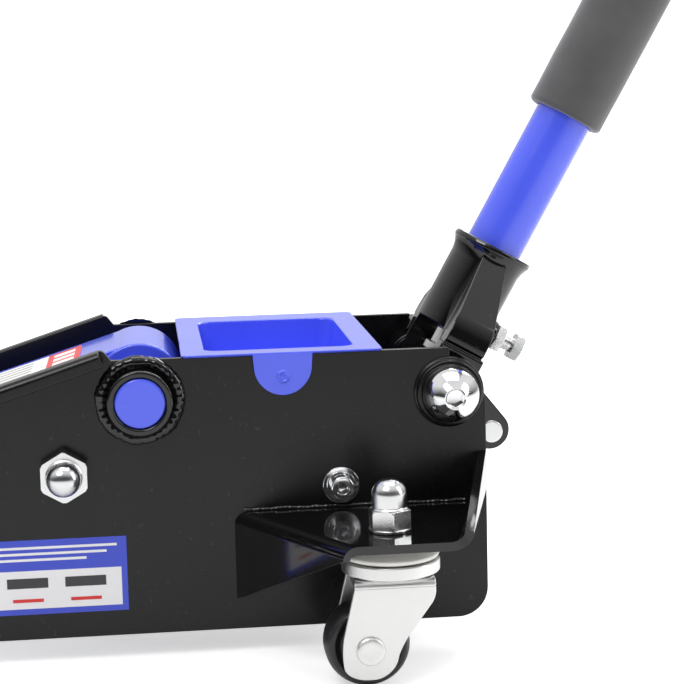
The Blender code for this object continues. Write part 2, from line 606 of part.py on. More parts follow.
def radius_rod():
    """Flat bar that keeps the saddle level, from the tie rod to the foot pin."""
    eye, foot, half = 0.0145, FOOT_PIN_R + 0.0035, 0.0078
    shape = (arc(0, 0, eye, 40, 320, 14) + [(0.028, -half), (ARM_LENGTH - 0.01, -half)]
             + arc(ARM_LENGTH, 0, foot, -70, 70, 7) + [(ARM_LENGTH - 0.01, half), (0.028, half)])
    frame = Matrix.Translation(ROD_OFFSET) @ arm_frame()
    slab("radius_rod", shape, 2 * RADIUS_ROD_HALF, frame, BLACK,
         [circle(0, 0, TIE_R + RUN, SMALL_STEPS),
          circle(ARM_LENGTH, 0, FOOT_PIN_R + RUN, SMALL_STEPS)])


def link_plates():
    """Two link plates from the lever pin to the crosshead pin, with play at the crosshead."""
    x_axis = Vector((-math.cos(LINK_REST), 0, -math.sin(LINK_REST)))
    y_axis = Vector((-math.sin(LINK_REST), 0, math.cos(LINK_REST)))
    turn = Matrix((x_axis, y_axis, x_axis.cross(y_axis))).transposed().to_4x4()
    hole = CROSS_PIN_R + RUN
    x0, x1 = LINK_LENGTH - LINK_PLAY_ALONG - hole, LINK_LENGTH + hole
    y0, y1 = -hole, LINK_PLAY_ACROSS + hole
    rim, half = LINK_RIM, LINK_HALF
    shape = rounded([(-LUG_R + 0.001, -half, half - 0.001), (x0 - rim, -half, 0),
                     (x0 + rim, y0 - rim, 0), (x1 + rim, y0 - rim, 0.009),
                     (x1 + rim, y1 + rim, 0.009), (x0 - rim, y1 + rim, 0.009),
                     (x0 - rim - 0.012, half, 0.002), (-LUG_R + 0.001, half, half - 0.001)], 4)
    slot = rounded([(x0, y0, hole * 0.9), (x1, y0, hole * 0.9), (x1, y1, hole * 0.9),
                    (x0, y1, hole * 0.9)], 4)
    for label, side in (("left", -1), ("right", 1)):
        frame = Matrix.Translation((LEVER_PIN.x, side * LINK_Y, LEVER_PIN.z)) @ turn
        slab("link_plate_" + label, shape, LINK_WALL, frame, ZINC,
             [circle(0, 0, PIN_R + RUN, SMALL_STEPS), slot])


def ram():
    """Ram rod with its piston and crosshead block, and the crosshead pin."""
    head_half = 0.0135
    length = 2 * head_half + RAM_STROKE + 0.033
    start = Vector((CROSS_PIN.x, 0, RAM_Z))
    profile = [(0, length), (RAM_BORE - RUN, length), (RAM_BORE - RUN, length - 0.012),
               (ROD_R, length - 0.012), (ROD_R, 0.010), (0, 0.010)]
    body = turned("ram_rod", profile, axis_frame(start, (1, 0, 0)), CHROME)
    block = rounded([(-head_half, -0.012, 0.004), (head_half, -0.012, 0.002),
                     (head_half, 0.012, 0.002), (-head_half, 0.012, 0.004)], 3)
    fuse(body, slab("ram_crosshead", block, 2 * (LINK_Y - LINK_WALL / 2 - 0.001),
                    side_frame(CROSS_PIN.x, RAM_Z)))
    cut(body, cross_rod("cross_hole", CROSS_PIN_R + RUN, CROSS_PIN, 0.05, None, 0))
    cross_rod("crosshead_pin", CROSS_PIN_R, CROSS_PIN, LINK_Y + 0.022, ZINC)


# ---------------------------------------------------------------- power unit
RAM_FRONT = CROSS_PIN.x + 0.0150
RAM_END = BASE_FRONT + RAM_SEAT


def ram_cylinder():
    front, end = RAM_FRONT, RAM_END
    long = end - front
    gland = 0.014
    profile = [(RAM_R, long), (RAM_R, 0.002), (RAM_R - 0.002, 0), (ROD_R + RUN, 0),
               (ROD_R + RUN, gland), (RAM_BORE, gland), (RAM_BORE, long)]
    turned("ram_cylinder", profile, axis_frame((front, 0, RAM_Z), (1, 0, 0)), STEEL, ring=True)


def reservoir_tank():
    """Oil tank round the ram cylinder, closed by an end ring at the front."""
    front, end = TANK_FRONT, BASE_FRONT - GAP
    long, wall = end - front, 0.0025
    inner = RAM_R + GAP
    profile = [(TANK_R, long), (TANK_R, 0.002), (TANK_R - 0.002, 0), (inner, 0), (inner, wall),
               (TANK_R - wall, wall), (TANK_R - wall, long)]
    turned("reservoir_tank", profile, axis_frame((front, 0, RAM_Z), (1, 0, 0)), BLACK, ring=True)


def power_unit_base():
    """Cast block bolted between the plates, with bores for the ram, the pump and the valve."""
    slant_top = (SLANT - BASE_TOP, BASE_TOP)
    slant_rear = (BASE_REAR, SLANT - BASE_REAR)
    outline = rounded([(BASE_FRONT, BASE_BOTTOM, 0.004), (BASE_REAR - 0.02, BASE_BOTTOM, 0.006),
                       (BASE_REAR, BASE_BOTTOM + 0.014, 0.003), (*slant_rear, 0.002),
                       (*slant_top, 0.002), (BASE_FRONT, BASE_TOP, 0.004)], 3)
    base = slab("power_unit_base", outline, 2 * BASE_HALF, side_frame(0, 0), CASTING)
    foot = rounded([(BASE_FRONT + 0.001, SCREW_Z - 0.013, 0.004),
                    (SCREW_X + 0.013, SCREW_Z - 0.013, 0.004),
                    (SCREW_X + 0.013, SCREW_Z + 0.013, 0.004),
                    (BASE_FRONT + 0.001, SCREW_Z + 0.013, 0.004)], 3)
    fuse(base, slab("base_ears", foot, 2 * (IN - GAP), side_frame(0, 0)))
    out = (math.cos(STROKE_ANGLE + math.pi), 0, math.sin(STROKE_ANGLE + math.pi))
    nut = axis_frame(VALVE_FACE - Vector(out) * 0.001, out)
    collar = [(0, 0.009), (0.0075, 0.009), (0.0085, 0.008), (0.0085, 0), (0, 0)]
    fuse(base, turned("valve_collar", collar, nut, steps=SMALL_STEPS))
    tip = on_ray((PUMP_TOP.x, PUMP_TOP.z), STROKE_ANGLE, 0.055)
    cut(base, rod("base_ram_bore", RAM_R + GAP, (BASE_FRONT - 0.01, 0, RAM_Z),
                  (RAM_END + GAP, 0, RAM_Z), steps=STEPS),
        rod("base_pump_bore", PUMP_R + GAP, tip, PLUNGER_TOP, steps=SMALL_STEPS))
    cut(base, rod("base_filler_hole", PLUG_R + GAP, (PLUG_X, 0, BASE_TOP - 0.012),
                  (PLUG_X, 0, BASE_TOP + 0.01)))
    valve_tip = VALVE_FACE - Vector(out) * 0.024
    cut(base, rod("base_valve_bore", VALVE_R + RUN, valve_tip,
                  VALVE_FACE + Vector(out) * 0.03, steps=SMALL_STEPS))
    for side in (-1, 1):
        cut(base, rod(f"base_thread{side}", SCREW_R + RUN, (SCREW_X, side * (IN - 0.020), SCREW_Z),
                      (SCREW_X, side * (IN + 0.01), SCREW_Z), steps=SMALL_STEPS))
    return base


def filler_plug():
    """Rubber plug in the filler hole on top of the base."""
    frame = Matrix.Translation((PLUG_X, 0, BASE_TOP + GAP))
    turned("filler_plug", [(0, 0.004), (0.006, 0.004), (0.0075, 0.0025), (0.0075, 0),
                           (PLUG_R, 0), (PLUG_R, -0.008), (0, -0.008)], frame, PLASTIC,
           steps=SMALL_STEPS)


def mounting_screw(name, side):
    """Socket head screw with two washers, through the plate into the base."""
    face = OUT + GAP
    frame = axis_frame((SCREW_X, side * face, SCREW_Z), (0, side, 0))
    profile = [(0, 0.011), (0.0059, 0.011), (0.00685, 0.0102), (0.00685, 0.0032), (0.0085, 0.0032),
               (0.0085, 0.0016), (0.0109, 0.0016), (0.0109, 0), (SCREW_R, 0),
               (SCREW_R, -0.0225), (0, -0.0225)]
    screw = turned(name, profile, frame, ZINC, steps=SMALL_STEPS)
    socket = slab(name + "_socket", hexagon(0.006), 0.010,
                  frame @ Matrix.Translation((0, 0, 0.0110)))
    return cut(screw, socket)


def pump():
    """Pump cylinder in the base, its plunger, and the spring that returns the plunger."""
    push = Vector((math.cos(STROKE_ANGLE), 0, math.sin(STROKE_ANGLE)))
    depth = 0.0545
    bottom = PUMP_TOP + push * depth
    tube("pump_cylinder", PUMP_R, PLUNGER_R + RUN, bottom, PUMP_TOP, STEEL, steps=SMALL_STEPS)
    length = PUMP_EXPOSED + 0.026
    head = 0.003
    profile = [(0, 0), (PUMP_HEAD_R - 0.001, 0), (PUMP_HEAD_R, -0.001), (PUMP_HEAD_R, -head),
               (PLUNGER_R, -head), (PLUNGER_R, -length), (0, -length)]
    turned("pump_plunger", profile, axis_frame(PLUNGER_TOP, -push), CHROME, steps=SMALL_STEPS)
    spring = PUMP_EXPOSED - head - 0.0018
    wire = 0.0006
    start = PUMP_TOP - push * (wire + GAP)
    coil("plunger_spring", PLUNGER_R + wire + 0.0018, wire, spring - 2 * wire, 5,
         axis_frame(start, -push), STEEL)


def release_valve():
    """Release valve stem with the lower fork of the universal joint and its centre block."""
    out = Vector((math.cos(STROKE_ANGLE + math.pi), 0, math.sin(STROKE_ANGLE + math.pi)))
    foot = VALVE_FACE - out * 0.0235
    centre = Vector((PIVOT_X, 0, PIVOT_Z))
    reach = (centre - foot).length
    profile = [(0, reach - 0.013), (0.0095, reach - 0.013), (0.0095, reach - 0.018),
               (VALVE_R, reach - 0.0195), (VALVE_R, 0.006), (0, 0)]
    stem = turned("release_valve", profile, axis_frame(foot, out), STEEL, steps=SMALL_STEPS)
    # each tine's plane holds the stem and the Y axis, set off to one side of the block
    across = Vector((0, 1, 0)).cross(out)
    face = Matrix((Vector((0, 1, 0)), out, across)).transposed().to_4x4()
    tine = rounded([(-0.004, -0.014, 0), (0.004, -0.014, 0), (0.004, 0.006, 0.0035),
                    (-0.004, 0.006, 0.0035)], 3)
    for side in (-1, 1):
        move = Matrix.Translation(centre + across * side * 0.0078)
        fuse(stem, slab(f"valve_tine{side}", tine, 0.003, move @ face))
    block = turned("valve_block", [(0, CROSS_HALF), (0.005, CROSS_HALF), (0.005, -CROSS_HALF),
                                   (0, -CROSS_HALF)], axis_frame(centre, (0, 1, 0)),
                   steps=SMALL_STEPS)
    bar = turned("valve_cross", [(0, 0.008), (0.0025, 0.008), (0.0025, -0.008), (0, -0.008)],
                 axis_frame(centre, across), steps=SMALL_STEPS)
    return fuse(stem, block, bar)


# ---------------------------------------------------------------- handle end
def handle_frame(distance=0.0, y=0.0):
    """Local X to the rear across the handle, local Y along -Y, local Z up the handle."""
    up = on_ray((0, 0), HANDLE_TILT, 1.0)
    rear = on_ray((0, 0), HANDLE_TILT - math.pi / 2, 1.0)
    turn = Matrix((rear, up.cross(rear), up)).transposed().to_4x4()
    return Matrix.Translation(along_handle(distance, y)) @ turn


def handle_socket():
    """Cast socket: flared tube for the handle on a yoke whose cheeks hold the pump roller."""
    bottom = SOCKET_START
    profile = [(0, RIM_S), (RIM_R - 0.001, RIM_S), (RIM_R, RIM_S - 0.0012),
               (RIM_R - 0.0006, RIM_S - 0.004), (SOCKET_R, RIM_S - 0.010),
               (SOCKET_R, bottom + 0.002), (SOCKET_R - 0.002, bottom), (0, bottom)]
    casting = turned("handle_socket", profile, handle_frame(), BLACK)
    cheek = YOKE_HALF - YOKE_CHEEK
    half = rounded([(0.012, 0.080, 0), (SOCKET_R + 0.0015, 0.078, 0.002),
                    (SOCKET_R + 0.004, 0.068, 0.006), (YOKE_HALF, 0.034, 0.010),
                    (YOKE_HALF, -0.010, 0.003), (cheek, -0.010, 0.003), (cheek, 0.026, 0.012),
                    (0.012, 0.058, 0)], 5)
    # outline in (y, up the handle), thick across the handle
    up = on_ray((0, 0), HANDLE_TILT, 1.0)
    for side in (-1, 1):
        y_axis = Vector((0, side, 0))
        turn = Matrix((y_axis, up, y_axis.cross(up))).transposed().to_4x4()
        shell = Matrix.Translation((PIVOT_X, 0, PIVOT_Z)) @ turn
        fuse(casting, slab(f"yoke_cheek{side}", half, YOKE_DEPTH, shell))
        boss = [(PIVOT_X, side * (cheek + 0.0004), PIVOT_Z), (PIVOT_X, side * (IN - 2 * GAP), PIVOT_Z)]
        fuse(casting, rod(f"yoke_boss{side}", YOKE_BOSS_R, boss[0], boss[1]))
        lug = (arc(0, 0, YOKE_BOSS_R - 0.001, 90, 270, 12)
               + arc(ROLLER_ARM, 0, ROLLER_LUG_R, -80, 80, 8))
        middle = side * (cheek + 0.0052)
        fuse(casting, slab(f"yoke_lug{side}", lug, 0.010,
                           side_frame(*PIVOT, middle, ROLLER_REST)))
    seat = along_handle(SET_S, 0, SOCKET_R - 0.003)
    pad_end = along_handle(SET_S, 0, SOCKET_R + 0.004)
    fuse(casting, rod("set_pad", 0.0085, seat, pad_end))
    bore = TUBE_R + RUN
    hole = [(0, RIM_S + 0.01), (bore + 0.002, RIM_S + 0.01), (bore + 0.002, RIM_S - 0.001),
            (bore, RIM_S - 0.003), (bore, bottom - 0.01), (0, bottom - 0.01)]
    cut(casting, turned("socket_bore", hole, handle_frame()),
        rod("set_hole", SET_R + RUN, along_handle(SET_S), along_handle(SET_S, 0, 0.06)))
    for side in (-1, 1):
        depth = (side * (cheek - 0.01), side * (IN + 0.01))
        cut(casting, rod(f"yoke_bore{side}", PIVOT_BOLT_R + RUN, (PIVOT_X, depth[0], PIVOT_Z),
                         (PIVOT_X, depth[1], PIVOT_Z)))
    cut(casting, cross_rod("roller_pin_hole", ROLLER_PIN_R + RUN, ROLLER, 0.09, None, 0))
    return casting


def pivot_bolt(name, side):
    """Domed socket bolt from outside the plate into the yoke's boss."""
    cheek = YOKE_HALF - YOKE_CHEEK
    face = OUT + PIVOT_BOSS_OUT + GAP
    rise = 0.0155
    dome = [(PIVOT_HEAD_R * math.sin(math.radians(a)), 0.0035 + (rise - 0.0035)
             * math.cos(math.radians(a))) for a in range(18, 91, 18)]
    shank = face - cheek - 0.001
    profile = ([(0, rise)] + [(dome[0][0], rise)] + dome[1:] + [(PIVOT_HEAD_R, 0.0035)]
               + [(PIVOT_HEAD_R, 0), (PIVOT_BOLT_R, 0), (PIVOT_BOLT_R, -shank), (0, -shank)])
    frame = axis_frame((PIVOT_X, side * face, PIVOT_Z), (0, side, 0))
    bolt = turned(name, profile, frame, CHROME, steps=STEPS)
    socket = slab(name + "_socket", hexagon(0.0082), 0.012, frame @ Matrix.Translation((0, 0, rise)))
    return cut(bolt, socket)


def roller():
    tube("pump_roller", ROLLER_R, ROLLER_PIN_R + RUN, ROLLER - Vector((0, ROLLER_HALF, 0)),
         ROLLER + Vector((0, ROLLER_HALF, 0)), STEEL, 0.001, 24)
    cross_rod("roller_pin", ROLLER_PIN_R, ROLLER, YOKE_HALF - YOKE_CHEEK + 0.0112, ZINC)


def set_bolt():
    """Bolt with a lock nut that holds the handle in its socket."""
    rear = on_ray((0, 0), HANDLE_TILT - math.pi / 2, 1.0)
    nut_start = SOCKET_R + 0.004 + GAP
    nut_end = nut_start + 0.006
    nut = slab("set_nut", hexagon(0.016, math.pi / 6), 0.006,
               axis_frame(along_handle(SET_S, 0, (nut_start + nut_end) / 2), rear), ZINC,
               [circle(0, 0, SET_R + RUN, SMALL_STEPS)])
    frame = axis_frame(along_handle(SET_S, 0, SET_HEAD), rear)
    bolt = slab("set_bolt", hexagon(0.016, math.pi / 6), 0.0065,
                frame @ Matrix.Translation((0, 0, 0.00325)), ZINC)
    shank = SET_HEAD - TUBE_R - 0.0008
    fuse(bolt, turned("set_shank", [(0, 0.001), (SET_R, 0.001), (SET_R, -shank), (0, -shank)],
                      frame, steps=SMALL_STEPS))
    return nut


def handle():
    """Two-piece tube handle with a foam sleeve, a rubber grip and a spring button."""
    inner = TUBE_R - TUBE_WALL
    lower = tube("handle_tube_lower", TUBE_R, inner, along_handle(TUBE_START),
                 along_handle(TUBE_START + LOWER_LENGTH), BLUE)
    upper_r = inner - RUN
    upper = tube("handle_tube_upper", upper_r, upper_r - TUBE_WALL, along_handle(UPPER_START),
                 along_handle(UPPER_START + UPPER_LENGTH - 0.008), BLUE)
    for target in (lower, upper):
        cut(target, rod(target.name + "_button_hole", BUTTON_R + RUN, along_handle(BUTTON_S),
                        along_handle(BUTTON_S, 0, -0.03)))
    tube("foam_sleeve", SLEEVE_R, TUBE_R + GAP, along_handle(SLEEVE_START),
         along_handle(SLEEVE_START + SLEEVE_LENGTH), FOAM, 0.0015)
    start = HANDLE_END - GRIP_LENGTH
    hold = upper_r + GAP
    profile = [(0, GRIP_LENGTH), (GRIP_R - GRIP_ROUND, GRIP_LENGTH),
               (GRIP_R, GRIP_LENGTH - GRIP_ROUND),
               (GRIP_R, 0.006), (GRIP_R + 0.002, 0.005), (GRIP_R + 0.002, 0.001),
               (GRIP_R + 0.001, 0), (hold, 0), (hold, GRIP_LENGTH - 0.0075),
               (0, GRIP_LENGTH - 0.0075)]
    turned("handle_grip", profile, handle_frame(start), PLASTIC)
    button = [(0, TUBE_R + BUTTON_OUT), (BUTTON_R - 0.0012, TUBE_R + BUTTON_OUT),
              (BUTTON_R, TUBE_R + BUTTON_OUT - 0.0012), (BUTTON_R, upper_r - TUBE_WALL - 0.004),
              (0, upper_r - TUBE_WALL - 0.004)]
    front = on_ray((0, 0), HANDLE_TILT + math.pi / 2, 1.0)
    turned("lock_button", button, axis_frame(along_handle(BUTTON_S), front), ZINC,
           steps=SMALL_STEPS)


def drive_fork():
    """Plug in the handle's lower end, with the upper fork of the universal joint."""
    plug = TUBE_R - TUBE_WALL - RUN
    profile = [(0, TUBE_START + 0.015), (plug, TUBE_START + 0.015), (plug, TUBE_START + 0.001),
               (0.0075, TUBE_START - 0.003), (0.0075, 0.0185), (0.0105, 0.0175), (0.0105, 0.013),
               (0, 0.013)]
    fork = turned("drive_fork", profile, handle_frame(), STEEL, steps=SMALL_STEPS)
    for side in (-1, 1):
        tine = rounded([(-0.0035, 0.0145, 0), (-0.0035, -0.0055, 0.003), (0.0035, -0.0055, 0.003),
                        (0.0035, 0.0145, 0)], 3)
        up = on_ray((0, 0), HANDLE_TILT, 1.0)
        rear = on_ray((0, 0), HANDLE_TILT - math.pi / 2, 1.0)
        turn = Matrix((rear, up, rear.cross(up))).transposed().to_4x4()
        centre = Vector((PIVOT_X, side * 0.0083, PIVOT_Z))
        fuse(fork, slab(f"drive_tine{side}", tine, 0.003, Matrix.Translation(centre) @ turn))
    return fork


# ---------------------------------------------------------------- wheels
def front_wheel(name, side):
    """Steel wheel with a turned hub and rolled tread edges."""
    inner_face = OUT + WHEEL_GAP
    w, bore = WHEEL_WIDTH, AXLE_R + RUN
    profile = [(0.013, w), (0.013, w - 0.003), (0.027, w - 0.003), (0.027, w - 0.0005),
               (WHEEL_R - 0.001, w - 0.0005), (WHEEL_R, w - 0.0015), (WHEEL_R, 0.0015),
               (WHEEL_R - 0.001, 0.0005), (0.013, 0), (bore, 0), (bore, w)]
    return turned(name, profile, axis_frame((AXLE_X, side * inner_face, WHEEL_R), (0, side, 0)),
                  STEEL, ring=True)


def caster(label, side):
    """Swivel caster under a bracket: nut, upper race, fork with ring, stud and rivet, wheel."""
    x, y = CASTER_X, side * CASTER_Y
    under = LEDGE_Z - LEDGE - GAP
    ring_top, ring_low = 0.0725, 0.0652
    cap_nut("caster_nut_" + label, (x, y, LEDGE_Z + GAP), (0, 0, 1), 0.0220, 0.0110, 0.0104, 0.0295,
            STUD_R + RUN, 0.0200, 0.0016)
    hole = STUD_R + RUN
    turned("caster_race_" + label,
           [(0.020, under), (0.0245, under - 0.001), (RACE_R - 0.001, ring_top + 0.0035),
            (RACE_R, ring_top + 0.0025), (RACE_R, ring_top + 0.0009), (hole, ring_top + 0.0009),
            (hole, under)], Matrix.Translation((x, y, 0)), ZINC, ring=True)
    profile = [(0, LEDGE_Z + 0.018), (STUD_R, LEDGE_Z + 0.018), (STUD_R, ring_top),
               (RACE_R - 0.0008, ring_top), (RACE_R, ring_top - 0.0008), (RACE_R, ring_low + 0.0008),
               (RACE_R - 0.0008, ring_low), (0.020, ring_low), (0.020, ring_low - 0.002),
               (0, ring_low - 0.002)]
    fork = turned("caster_fork_" + label, profile, Matrix.Translation((x, y, 0)), ZINC)
    crown_top, crown = ring_low - 0.001, 0.0035
    axle_x, axle_z = x - CASTER_TRAIL, CASTER_R
    left, right = x - 0.0232, x + 0.0225
    plate = rounded([(left, y - FORK_HALF, 0.002), (right, y - FORK_HALF, 0.002),
                     (right, y + FORK_HALF, 0.002), (left, y + FORK_HALF, 0.002)], 2)
    fuse(fork, slab("crown_" + label, plate, crown,
                    Matrix.Translation((0, 0, crown_top - crown / 2))))
    foot = 0.0168
    tine = ([(right, crown_top - 0.0005), (left, crown_top - 0.0005)]
            + arc(axle_x, axle_z, foot, 172, 335, 10) + [(right, crown_top - 0.007)])
    for way in (-1, 1):
        frame = side_frame(0, 0, y + way * (FORK_HALF - FORK_WALL / 2 - 0.0001))
        fuse(fork, slab(f"tine_{label}{way}", tine, FORK_WALL, frame))
    head = FORK_HALF + 0.0022
    half = [(0.0068, head), (0.0082, head - 0.001), (0.0082, FORK_HALF - 0.001),
            (0.004, FORK_HALF - 0.001)]
    rivet = [(0, head)] + half + [(r, -h) for r, h in half[::-1]] + [(0, -head)]
    fuse(fork, turned("rivet_" + label, rivet, axis_frame((axle_x, y, axle_z), (0, 1, 0)),
                      steps=SMALL_STEPS))
    w = CASTER_HALF
    rim = CASTER_R - 0.0045
    profile = [(0.0100, w + 0.002), (0.0100, w - 0.003), (rim, w - 0.003), (CASTER_R - 0.003, w),
               (CASTER_R, w - 0.004), (CASTER_R, -w + 0.004), (CASTER_R - 0.003, -w),
               (rim, -w + 0.003), (0.0100, -w + 0.003), (0.0100, -w - 0.002),
               (0.004 + RUN, -w - 0.002), (0.004 + RUN, w + 0.002)]
    turned("caster_wheel_" + label, profile, axis_frame((axle_x, y, axle_z), (0, 1, 0)), PLASTIC,
           ring=True)


# ---------------------------------------------------------------- assembly
build_frame()
tray()
lift_arm()
shaft_half = OUT + BOSS_OUT - 0.0002
cross_rod("lift_shaft", SHAFT_R, (0, 0, LIFT_Z), shaft_half, BLUE, 0.0012)
cross_rod("lever_pin", PIN_R, LEVER_PIN, ARM_HALF + 0.003, ZINC)
cross_rod("saddle_pin", PIN_R, SADDLE_PIN, ARM_HALF + 0.004, ZINC)
solve_manifold(saddle_bracket())
cross_rod("radius_rod_pin", FOOT_PIN_R, FOOT_PIN, RADIUS_ROD_HALF + 0.0115, ZINC)
saddle()
radius_rod()
link_plates()
ram()
ram_cylinder()
reservoir_tank()
solve_manifold(power_unit_base())
filler_plug()
pump()
release_valve()
solve_manifold(handle_socket())
roller()
set_bolt()
handle()
drive_fork()
for name_end, hand in (("left", -1), ("right", 1)):
    mounting_screw("mounting_screw_" + name_end, hand)
    pivot_bolt("pivot_bolt_" + name_end, hand)
    front_wheel("front_wheel_" + name_end, hand)
    caster(name_end, hand)
    spring_length = BASE_FRONT - SPRING_SHORT - CROSS_PIN.x
    coil("return_spring_" + name_end, 0.0045, 0.0009, spring_length, 12,
         axis_frame((CROSS_PIN.x, hand * SPRING_Y, RAM_Z), (1, 0, 0)), STEEL)
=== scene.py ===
import math

import bmesh
import bpy
from mathutils import Matrix, Vector, noise


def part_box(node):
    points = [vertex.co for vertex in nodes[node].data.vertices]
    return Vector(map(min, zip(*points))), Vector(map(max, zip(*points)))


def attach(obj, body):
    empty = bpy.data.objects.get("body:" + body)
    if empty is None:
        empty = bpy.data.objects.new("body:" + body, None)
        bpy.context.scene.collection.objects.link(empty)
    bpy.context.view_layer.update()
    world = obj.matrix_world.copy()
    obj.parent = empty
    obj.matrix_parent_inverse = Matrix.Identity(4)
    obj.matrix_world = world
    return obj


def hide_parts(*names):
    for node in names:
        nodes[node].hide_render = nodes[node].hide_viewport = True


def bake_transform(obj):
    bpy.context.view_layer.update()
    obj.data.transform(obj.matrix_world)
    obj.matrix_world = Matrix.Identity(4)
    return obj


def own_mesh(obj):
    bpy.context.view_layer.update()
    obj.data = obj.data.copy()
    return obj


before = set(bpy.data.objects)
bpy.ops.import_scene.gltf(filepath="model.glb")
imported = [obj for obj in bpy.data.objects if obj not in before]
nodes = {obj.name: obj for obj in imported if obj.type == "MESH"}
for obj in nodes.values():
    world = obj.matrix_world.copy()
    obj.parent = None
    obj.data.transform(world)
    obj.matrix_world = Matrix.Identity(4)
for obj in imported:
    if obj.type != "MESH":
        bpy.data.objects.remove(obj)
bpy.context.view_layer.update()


# places taken from the frame
def middleOf(node):
    low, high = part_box(node)
    return (low + high) / 2


def reachOf(node):
    low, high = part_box(node)
    return high - low


shaftX = middleOf("lift_shaft").x  # x below is counted from the lift shaft
liftZ = middleOf("lift_shaft").z
plateWall = 0.005
plateOuter = -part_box("side_plate_left")[1].y + plateWall
plateGap = 0.0003  # what is fixed to a side plate starts this far off it
pivot = Vector((middleOf("pivot_bolt_left").x, 0, middleOf("pivot_bolt_left").z))
tilt = math.radians(60.5)  # of the handle, from the floor
alongHandle = Vector((math.cos(tilt), 0, math.sin(tilt)))
behindHandle = Vector((math.sin(tilt), 0, -math.cos(tilt)))


def at(x, y, z):
    return Vector((x + shaftX, y, z))


def axes(origin, across, up):
    # local X across, local Y up, local Z their cross product
    across, up = Vector(across).normalized(), Vector(up).normalized()
    turn = Matrix((across, up, across.cross(up))).transposed().to_4x4()
    return Matrix.Translation(origin) @ turn


def facing(origin, direction):
    # local Z along the direction
    return Matrix.Translation(origin) @ Vector(direction).to_track_quat("Z", "Y").to_matrix().to_4x4()


def upHandle(distance):
    return facing(pivot + alongHandle * distance, alongHandle)


def onPlate(where, side):
    # outwards from a side plate, level with a point
    return facing((where.x, side * (plateOuter + plateGap), where.z), (0, side, 0))


def through(node):
    # along a pin or shaft that lies across the jack
    return facing(middleOf(node) - Vector((0, reachOf(node).y / 2, 0)), (0, 1, 0))


# finishes
def socketsOf(group, side, names):
    for name, kind, value in names:
        socket = group.interface.new_socket(name, in_out=side, socket_type=kind)
        if value is not None:
            socket.default_value = value


def makeGrainGroup():
    # fine relief, slow change of colour and of roughness, and small dust specks
    group = bpy.data.node_groups.new("paintGrain", "ShaderNodeTree")
    socketsOf(group, "INPUT", [
        ("Colour", "NodeSocketColor", (0.5, 0.5, 0.5, 1)),
        ("Second Colour", "NodeSocketColor", (0.5, 0.5, 0.5, 1)),
        ("Fine Scale", "NodeSocketFloat", 900.0), ("Broad Scale", "NodeSocketFloat", 18.0),
        ("Roughness Low", "NodeSocketFloat", 0.2), ("Roughness High", "NodeSocketFloat", 0.3),
        ("Specks", "NodeSocketFloat", 0.1), ("Stretch", "NodeSocketVector", (1, 1, 1))])
    socketsOf(group, "OUTPUT", [("Colour", "NodeSocketColor", None), ("Roughness", "NodeSocketFloat", None),
                                ("Height", "NodeSocketFloat", None)])
    tree, link = group.nodes, group.links.new
    given, out = tree.new("NodeGroupInput"), tree.new("NodeGroupOutput")
    place = tree.new("ShaderNodeTexCoord")
    stretch = tree.new("ShaderNodeVectorMath")
    stretch.operation = "MULTIPLY"
    link(place.outputs["Object"], stretch.inputs[0])
    link(given.outputs["Stretch"], stretch.inputs[1])
    speckScale = tree.new("ShaderNodeMath")
    speckScale.operation = "MULTIPLY"
    speckScale.inputs[1].default_value = 0.6
    link(given.outputs["Fine Scale"], speckScale.inputs[0])
    fine, broad, speck = (tree.new("ShaderNodeTexNoise") for _ in range(3))
    for noiseNode, detail, where, scale in (
            (fine, 3, stretch.outputs[0], given.outputs["Fine Scale"]),
            (broad, 5, place.outputs["Object"], given.outputs["Broad Scale"]),
            (speck, 1, place.outputs["Object"], speckScale.outputs[0])):
        noiseNode.inputs["Detail"].default_value = detail
        link(where, noiseNode.inputs["Vector"])
        link(scale, noiseNode.inputs["Scale"])
    ramp = tree.new("ShaderNodeMapRange")
    ramp.inputs["From Min"].default_value, ramp.inputs["From Max"].default_value = 0.35, 0.65
    link(broad.outputs["Fac"], ramp.inputs["Value"])
    colour = tree.new("ShaderNodeMix")
    colour.data_type = "RGBA"
    link(ramp.outputs[0], colour.inputs["Factor"])
    link(given.outputs["Colour"], colour.inputs["A"])
    link(given.outputs["Second Colour"], colour.inputs["B"])
    dust = tree.new("ShaderNodeMapRange")
    dust.inputs["From Min"].default_value, dust.inputs["From Max"].default_value = 0.70, 0.78
    link(speck.outputs["Fac"], dust.inputs["Value"])
    dustShare = tree.new("ShaderNodeMath")
    dustShare.operation = "MULTIPLY"
    link(dust.outputs[0], dustShare.inputs[0])
    link(given.outputs["Specks"], dustShare.inputs[1])
    dusty = tree.new("ShaderNodeMix")
    dusty.data_type = "RGBA"
    dusty.inputs["B"].default_value = (0.55, 0.54, 0.52, 1)
    link(dustShare.outputs[0], dusty.inputs["Factor"])
    link(colour.outputs["Result"], dusty.inputs["A"])
    rough = tree.new("ShaderNodeMapRange")
    rough.inputs["From Min"].default_value, rough.inputs["From Max"].default_value = 0.3, 0.7
    link(broad.outputs["Fac"], rough.inputs["Value"])
    link(given.outputs["Roughness Low"], rough.inputs["To Min"])
    link(given.outputs["Roughness High"], rough.inputs["To Max"])
    link(dusty.outputs["Result"], out.inputs["Colour"])
    link(rough.outputs[0], out.inputs["Roughness"])
    link(fine.outputs["Fac"], out.inputs["Height"])
    return group


grainGroup = makeGrainGroup()


